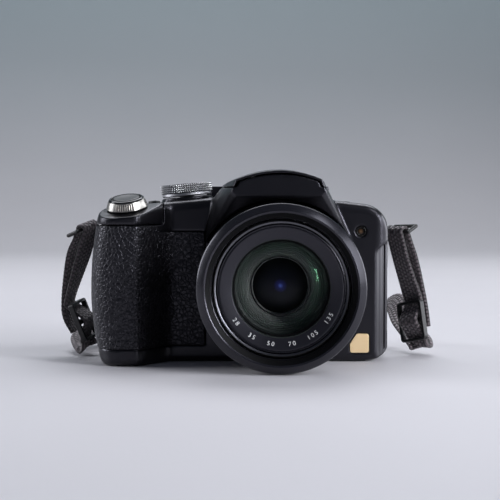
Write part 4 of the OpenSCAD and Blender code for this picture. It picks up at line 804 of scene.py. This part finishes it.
def knurled_band(name):
    """A fine cylinder with every other vertex of every other row drawn out to a point."""
    columns, rows, drawn_out = 144, 8, 1.043
    middle = (0, 0, (KNURL_LOW + KNURL_TALL / 2) * MM)
    deselect()
    bpy.ops.mesh.primitive_cylinder_add(vertices=columns, radius=KNURL_R * MM, depth=KNURL_TALL * MM,
                                        location=middle, end_fill_type="NOTHING")
    band = bpy.context.object
    band.name = name
    bpy.ops.object.transform_apply(location=True)
    bpy.ops.object.mode_set(mode="EDIT")
    for k in range(1, rows):
        bpy.ops.mesh.select_all(action="SELECT")
        bpy.ops.mesh.bisect(plane_co=(0, 0, (KNURL_LOW + KNURL_TALL * k / rows) * MM), plane_no=(0, 0, 1))
    bpy.ops.mesh.select_all(action="DESELECT")
    bpy.ops.object.mode_set(mode="OBJECT")
    for vertex in band.data.vertices:
        row = round((vertex.co.z / MM - KNURL_LOW) / KNURL_TALL * rows)
        column = round(math.atan2(vertex.co.y, vertex.co.x) / (2 * math.pi) * columns)
        vertex.select = row % 2 == 1 and column % 2 == 0
    only(band)
    bpy.ops.object.mode_set(mode="EDIT")
    bpy.ops.transform.resize(value=(drawn_out, drawn_out, 1), center_override=middle)
    bpy.ops.object.mode_set(mode="OBJECT")
    return band


def make_dial():
    """Mode dial: a silver body on its stem, a knurled band, a black cap and plain figures."""
    place = dial_frame()
    r, stem = DIAL_R, 3.0
    shape = [(0, 6.4), (r - 1.0, 6.4), (r - 0.8, 6.55), (r - 0.5, 6.7), (r - 0.15, 6.65), (r, 6.5), (r, 3.2),
             (r - 0.1, 3.05), (r - 0.25, 2.95), (r - 0.15, 2.8), (r - 0.1, 2.0), (r - 0.3, 1.7), (stem, 1.7),
             (stem, -4.5), (0, -4.5)]
    fit(turned("dial_body", shape, place, 96), "mode_dial", silver, "silver_metal", "mode_dial")

    band = knurled_band("dial_knurl")
    settle(band, place)
    fit(band, "mode_dial", knurl_silver, "silver_metal")

    shape = [(0, 6.3), (r - 1.3, 6.3), (r - 1.3, 6.42), (r - 1.45, 6.54), (0, 6.54)]
    fit(turned("dial_cap", shape, place, 80), "mode_dial", key_satin, "silver_metal")
    count, radius, top = 9, 6.6, 6.55
    figures = [figure(str(k + 1), 2.6, place @ round_axis(radius, 90 - 360 / count * k, top, -90))
               for k in range(count)]
    fit(joined("dial_figures", figures), "mode_dial", white_print, "silver_metal")


def make_shutter():
    """Zoom lever, a bright cone with ribs in front and a black rim, and the shutter button in its well."""
    place = shutter_frame()
    shape = rounded([(WELL_R, 1.8), (3.9, 1.8), (3.9, -3.1), (4.5, -3.1), (4.5, 0.5), (7.8, 0.5), (8.1, 0.9),
                     (7.05, 3.7), (6.9, 3.8), (WELL_R, 3.8)], 0.1)
    fit(turned("lever_cone", shape, place, 128), "zoom_lever", lever_satin, "chrome_trim", "zoom_lever")
    rim = WELL_R + 0.03
    shape = rounded([(rim, 3.78), (6.88, 3.78), (6.9, 3.95), (6.5, 4.36), (6.0, 4.46), (rim, 4.3)], 0.08)
    fit(turned("lever_rim", shape, place, 128), "zoom_lever", gloss_black, "chrome_trim")

    count, first, step, height = 9, -117, 6.3, 2.3
    slope = Matrix.Rotation(math.radians(-CONE_SLOPE), 4, "Y")
    ribs = [place @ round_axis(7.5, first + step * k, height) @ slope for k in range(count)]
    # Ribs in a lighter finish than the cone: painted highlight.
    rib = block("lever_rib", (0.9, 0.5, 2.5), 0.14, 2)
    fit(copied("lever_ribs", rib, ribs), "zoom_lever", rib_highlight_satin, "chrome_trim")
    # Dark blocks between the ribs: painted shade in the grooves.
    groove_shades = [place @ round_axis(7.43, first + step * (k + 0.5), height) @ slope for k in range(count - 1)]
    slot = block("lever_groove_shade", (0.5, 0.34, 2.4), 0.05, 1)
    fit(copied("lever_groove_shades", slot, groove_shades), "zoom_lever", key_satin, "chrome_trim")

    edge, stem = WELL_R - 0.35, 3.6
    shape = [(0, 4.36), (2.0, 4.39), (3.5, 4.47), (4.5, 4.56), (5.0, 4.52), (5.28, 4.36), (edge, 4.1),
             (edge, 3.4), (stem, 3.4), (stem, -3), (0, -3)]
    fit(turned("shutter_cap", shape, place, 96, 50), "shutter_button", button_satin, "black_gloss",
        "shutter_button")


# Keys and display

def arrow_mark(name, node, turn):
    """Small printed arrow on the back face of a key, turned by that many degrees seen from behind."""
    deselect()
    bpy.ops.mesh.primitive_circle_add(vertices=3, radius=0.75 * MM, fill_type="NGON")
    mark = bpy.context.object
    mark.name = name
    bpy.ops.object.mode_set(mode="EDIT")
    bpy.ops.mesh.select_all(action="SELECT")
    bpy.ops.mesh.extrude_region_move(TRANSFORM_OT_translate={"value": (0, 0, 0.05 * MM)})
    bpy.ops.mesh.select_all(action="SELECT")
    bpy.ops.mesh.normals_make_consistent(inside=False)
    bpy.ops.object.mode_set(mode="OBJECT")
    low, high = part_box(node)
    face = Matrix.Translation(((low.x + high.x) / 2, high.y - 0.02 * MM, (low.z + high.z) / 2))
    upright = Matrix.Rotation(math.pi, 4, "Z") @ Matrix.Rotation(math.radians(90), 4, "X")
    settle(mark, face @ upright @ Matrix.Rotation(math.radians(turn - 90), 4, "Z"))
    return mark


def make_keys():
    top_keys = ("burst_button", "focus_button", "flash_button", "power_switch")
    back_keys = ("finder_button", "display_button", "delete_button", "key_up", "key_down", "key_left",
                 "key_right", "set_button", "play_switch", "joystick", "dioptre_dial")
    for keys, voxel in ((top_keys, 0.12), (back_keys, 0.14)):
        for node in keys:
            fit(moulded(node, node + "_cap", voxel, 3), node, key_satin, "key_plastic", node)
    for node, turn in (("key_up", 90), ("key_left", 180), ("key_down", 270), ("key_right", 0)):
        fit(arrow_mark(node + "_mark", node, turn), node, white_print, "key_plastic")


def make_display():
    low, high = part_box("lcd_window")
    pane = block("display_pane", (high - low) / MM, 0.35, at=(low + high) / 2 / MM)
    fit(pane, "case", gloss_black, "black_gloss", "lcd_window")


# Strap

def curve_through(points, count):
    """Smooth line through points, count steps from each to the next."""
    made = []
    last = len(points) - 1
    for i in range(last):
        p0, p1, p2, p3 = points[max(i - 1, 0)], points[i], points[i + 1], points[min(i + 2, last)]
        for k in range(count):
            t = k / count
            made.append(0.5 * (2 * p1 + (p2 - p0) * t + (2 * p0 - 5 * p1 + 4 * p2 - p3) * t * t
                               + (3 * p1 - p0 - 3 * p2 + p3) * t ** 3))
    made.append(points[last].copy())
    return made


def even_steps(line, across, step):
    """The same line and its across directions, at even steps."""
    places, sides = [line[0]], [across[0]]
    left = step
    for a, b, ua, ub in zip(line, line[1:], across, across[1:]):
        span = (b - a).length
        gone = left
        while gone <= span:
            t = gone / span
            places.append(a.lerp(b, t))
            sides.append(ua.lerp(ub, t))
            gone += step
        left = gone - span
    places.append(line[-1])
    sides.append(across[-1])
    return places, sides


def strip(name, line, across, width, thick, columns, step, ribs):
    """Flat woven strip with rounded selvedges, cross ribs and a map in millimetres; and its length."""
    selvedge, drawn_in, rib_pitch = 0.14, 0.75, 1.5
    line, across = even_steps(line, across, step)
    last = len(line) - 1
    ring = []
    for k in range(columns + 1):
        u = k / columns * 2 - 1
        ring.append((u, 0.5 * (1 - max(0, abs(u) - 1 + selvedge) / selvedge * drawn_in)))
    loop = ring + [(u, -h) for u, h in reversed(ring)]
    n = len(loop)
    points, map_v, gone = [], [], 0.0
    for i, place in enumerate(line):
        ahead = (line[min(i + 1, last)] - line[max(i - 1, 0)]).normalized()
        up = ahead.cross(across[i]).normalized()
        side = up.cross(ahead)
        if i:
            gone += (place - line[i - 1]).length
        map_v.append(gone)
        swell = 1 - ribs * (0.5 + 0.5 * math.cos(2 * math.pi * gone / rib_pitch))
        for u, h in loop:
            points.append((place + side * u * width / 2 + up * h * thick * swell) * MM)
    faces = [(i * n + k, i * n + (k + 1) % n, (i + 1) * n + (k + 1) % n, (i + 1) * n + k)
             for i in range(last) for k in range(n)]
    faces.append(tuple(range(n - 1, -1, -1)))
    faces.append(tuple(last * n + k for k in range(n)))
    mesh = bpy.data.meshes.new(name)
    mesh.from_pydata(points, [], faces)
    layer = mesh.uv_layers.new(name="weave")
    for polygon in mesh.polygons:
        for corner in polygon.loop_indices:
            i, k = divmod(mesh.loops[corner].vertex_index, n)
            layer.data[corner].uv = (loop[k][0] * width / 2 + width, map_v[i])
    piece = bpy.data.objects.new(name, mesh)
    bpy.context.scene.collection.objects.link(piece)
    only(piece)
    bpy.ops.object.mode_set(mode="EDIT")
    bpy.ops.mesh.select_all(action="SELECT")
    bpy.ops.mesh.normals_make_consistent(inside=False)
    bpy.ops.object.mode_set(mode="OBJECT")
    bpy.ops.object.shade_smooth()
    return piece, gone


def buckle_axes(down, face):
    """Across, down and out of a buckle that hangs along down and looks along face."""
    v = Vector(down).normalized()
    u = Vector(face).cross(v).normalized()
    return u, v, v.cross(u)


def web_route(bar, at, axes, away):
    """From the loose end behind the buckle over the ring, through the buckle, then back and away."""
    mid = (bar[0] + bar[1]) / 2
    along = (bar[1] - bar[0]).normalized() * (1 if bar[1].x > bar[0].x else -1)
    level = along.cross(Vector((0, 0, 1))).normalized()
    up = level.cross(along)
    clear = 0.35
    loop = WIRE_R + clear + WEB_T / 2
    u, v, w = axes
    down = (at - v * 11 - w * 3.6 - mid).normalized()
    route = [(at + v * 3 - w * 5, u), (at - v * 7 - w * 5, u),
             (mid - level * (loop + 0.7) + down * 13, along), (mid - level * (loop + 0.2) + down * 4, along)]
    for degrees in range(0, 181, 45):
        a = math.radians(degrees)
        route.append((mid + (up * math.sin(a) - level * math.cos(a)) * loop, along))
    route += [(mid + level * (loop + 0.2) + down * 4, along), (mid + level * (loop + 0.4) + down * 13, along)]
    for p, q in ((-10, -2.2), (-7, -2.1), (-4, 0), (-1, 2.1), (1, 2.1), (4, 0), (7, -2.1), (8.7, -2.4),
                 (10.4, -3.2)):
        route.append((at + v * p + w * q, u))
    return route + [(Vector(p), Vector(d).normalized()) for p, d in away]


def make_webbing():
    """Both webbings, each from its ring through its buckle to an end of the neck band."""
    band_end = BAND_X + BAND_RUN
    lug_right, lug_left = Vector((43.3, 11.6, 52)), Vector((-72, 12.6, 52.4))
    right = web_route(
        (lug_right + Vector((1.8, -1.8, -1.9)), lug_right + Vector((9.1, -12.1, -1.5))),
        Vector((54.8, 5.6, 14)), buckle_axes((0.12, -0.16, -0.97), (-0.75, -0.635, 0.01)),
        [((59, 12, 4.2), (0.9, -0.2, 0.35)), ((57, 19, 7.5), (0.85, 0.2, 0.4)),
         ((53.4, 27, 13), (0.8, 0.2, 0.5)), ((51.8, 35, 18), (0.75, 0.1, 0.65)),
         ((50, 42, 19), (0.45, 0.6, 0.65)), ((46, 47.8, 16), (0.1, 0.95, 0.2)),
         ((band_end + 3, BAND_Y, BAND_TOP + 0.3), (0, 1, 0)),
         ((band_end + 1.4, BAND_Y, BAND_TOP + 0.05), (0, 1, 0)),
         ((band_end + 0.3, BAND_Y, BAND_TOP), (0, 1, 0))])
    left = web_route(
        (lug_left + Vector((-2.1, -1.8, 1.2)), lug_left + Vector((-9.1, -13, -1.8))),
        Vector((-79.4, 6.6, 14.4)), buckle_axes((0.36, 0.05, -0.92), (0.88, -0.32, 0.32)),
        [((-80.4, 15.6, 4.4), (0.85, 0.4, 0.3)), ((-82, 23.5, 6.8), (0.95, 0, 0.25)),
         ((-80, 32, 9.5), (0.95, 0, 0.2)), ((-78, 41, 7), (0.75, -0.4, 0.4)),
         ((-75, 46.6, 3.4), (0.4, -0.85, 0.2)),
         ((BAND_X - 5, BAND_Y, BAND_LOW + 0.4), (0, -1, 0)),
         ((BAND_X - 2, BAND_Y, BAND_LOW + 0.05), (0, -1, 0)),
         ((BAND_X - 0.3, BAND_Y, BAND_LOW), (0, -1, 0))])
    for name, route in (("web_right", right), ("web_left", left)):
        line = curve_through([p for p, d in route], 10)
        across = curve_through([d for p, d in route], 10)
        piece, length = strip(name, line, across, WEB_W, WEB_T, 16, 0.375, 0.22)
        fit(piece, "case", web_weave, "webbing", "straps")


def make_neck_band():
    """Neck band, folded to and fro in layers that lie on each other."""
    r = BAND_STEP / 2
    steps = 30
    line = []
    for k in range(BAND_FOLDS + 1):
        way = 1 if k % 2 == 0 else -1
        z = BAND_LOW + k * BAND_STEP
        near, far = (BAND_X, BAND_X + BAND_RUN) if way > 0 else (BAND_X + BAND_RUN, BAND_X)
        begin = near if k == 0 else near + way * r
        end = far - way * r if k < BAND_FOLDS else far
        line += [Vector((begin + (end - begin) * j / steps, BAND_Y, z)) for j in range(steps + 1)]
        if k < BAND_FOLDS:
            for degrees in range(-75, 90, 15):
                a = math.radians(degrees)
                line.append(Vector((end + way * r * math.cos(a), BAND_Y, z + r + r * math.sin(a))))
    piece, length = strip("neck_pad", line, [Vector((0, 1, 0))] * len(line), BAND_W, BAND_T, 24, 0.8, 0.06)
    fit(piece, "case", band_weave, "band_fabric", "neck_band")


def make_neck_tie():
    """Tie round the folded band: a short sleeve cut from a block."""
    tall = BAND_LOW + BAND_TOP
    middle = (BAND_X + BAND_RUN / 2, BAND_Y, tall / 2)
    deselect()
    bpy.ops.mesh.primitive_cube_add(size=1, location=[c * MM for c in middle])
    tie = bpy.context.object
    tie.name = "neck_tie"
    tie.scale = (12 * MM, (BAND_W + 1.8) * MM, tall * MM)
    bpy.ops.object.transform_apply(location=True, rotation=True, scale=True)
    bpy.ops.object.mode_set(mode="EDIT")
    bpy.ops.mesh.select_mode(type="FACE")
    bpy.ops.mesh.select_all(action="DESELECT")
    bpy.ops.object.mode_set(mode="OBJECT")
    for polygon in tie.data.polygons:
        polygon.select = abs(polygon.normal.x) > 0.9
    bpy.ops.object.mode_set(mode="EDIT")
    bpy.ops.mesh.delete(type="ONLY_FACE")
    bpy.ops.mesh.select_mode(type="VERT")
    bpy.ops.object.mode_set(mode="OBJECT")
    apply_modifier(tie, "SOLIDIFY", thickness=0.7 * MM, offset=-1)
    apply_modifier(tie, "BEVEL", width=0.25 * MM, segments=2, limit_method="ANGLE")
    fit(tie, "case", eyecup_rubber, "band_fabric", "neck_band")


def make_strap():
    make_webbing()
    make_neck_band()
    make_neck_tie()
    fit(moulded("buckles", "ladder_buckles", 0.17, 4), "case", buckle_black, "buckle_plastic", "buckles")
    fit(moulded("strap_rings", "wire_rings", 0.14, 5), "case", worn_wire, "steel", "strap_rings")


# Inner parts

def dress_inner_parts():
    """Finishes of the solids that keep their own meshes, nearly all of them inside the case."""
    plain = {
        "cam_ring": milled, "chassis": milled, "joystick_frame": milled, "focus_group": milled,
        "zoom_gear": gear_nylon, "image_sensor": sensor_blue, "finder_display": panel_dark,
        "lcd_panel": panel_dark, "main_board": circuit, "flash_head": mirror_foil, "battery": cell_wrap,
        "memory_card": card_blue, "sockets": steel, "tripod_bush": steel, "fasteners": steel,
        "iris_unit": tube_satin, "finder_lens": finder_glass}
    for node, finish in plain.items():
        dress(nodes[node], finish)


# Stage, in metres

def make_floor():
    """Wide floor that curves up into a backdrop behind the object."""
    wide, deep, ahead, drop, wall, curve = 24, 14, 5, 0.0002, 2.6, 0.9
    deselect()
    bpy.ops.mesh.primitive_plane_add(size=1, location=(0, -ahead, -drop))
    floor = bpy.context.object
    floor.name = "floor"
    floor.scale = (wide, deep, 1)
    bpy.ops.object.transform_apply(location=True, rotation=True, scale=True)
    bpy.ops.object.mode_set(mode="EDIT")
    bpy.ops.mesh.select_all(action="DESELECT")
    bpy.ops.object.mode_set(mode="OBJECT")
    for vertex in floor.data.vertices:
        vertex.select = vertex.co.y > 0
    for edge in floor.data.edges:
        edge.select = all(floor.data.vertices[v].co.y > 0 for v in edge.vertices)
    only(floor)
    bpy.ops.object.mode_set(mode="EDIT")
    bpy.ops.mesh.extrude_region_move(TRANSFORM_OT_translate={"value": (0, 0, wall)})
    bpy.ops.object.mode_set(mode="OBJECT")
    apply_modifier(floor, "BEVEL", width=curve, segments=24, affect="EDGES", limit_method="ANGLE")
    bpy.ops.object.shade_smooth()
    dress(floor, pale_floor)


def make_light():
    """Dim bluish room, with softboxes round the object and one on the backdrop."""
    world = bpy.data.worlds.new("studio")
    world.use_nodes = True
    room = world.node_tree.nodes["Background"]
    room.inputs["Color"].default_value = (0.66, 0.75, 1.0, 1)
    room.inputs["Strength"].default_value = 0.10
    bpy.context.scene.world = world
    cool = (0.92, 0.94, 1.0)
    softbox("window", at=(0.1, 0.75, 1.05), to=(0, -0.05, 0.02), size=(1.1, 0.6), power=8.5, tint=cool)
    softbox("key", at=(-1.2, 0.14, 0.5), to=(0, 0, 0.03), size=(0.5, 0.8), power=8.0, tint=cool)
    softbox("bank", at=(0.95, -0.44, 0.36), to=(0, -0.03, 0.03), size=(0.9, 0.66), power=2.2, tint=cool,
            spread=90)
    softbox("strip", at=(0.69, -0.6, 0.33), to=(0, 0, 0.04), size=(0.08, 0.45), power=0.5, tint=cool,
            spread=60)
    softbox("over", at=(0.55, -0.40, 0.85), to=(0, -0.03, 0.03), size=(0.3, 0.3), power=1.6, tint=cool)
    softbox("side", at=(1.0, 0.40, 0.26), to=(0.03, 0, 0.03), size=(0.7, 0.5), power=6.0, tint=cool)
    softbox("wall", at=(0, 0.8, 1.7), to=(0, 2.0, 0.7), size=(1.6, 0.5), power=8.0)


photo_camera()
make_strap()
make_case()
make_lens()
make_dial()
make_shutter()
make_keys()
make_display()
dress_inner_parts()
make_floor()
make_light()
bpy.context.scene.view_settings.view_transform = "Standard"
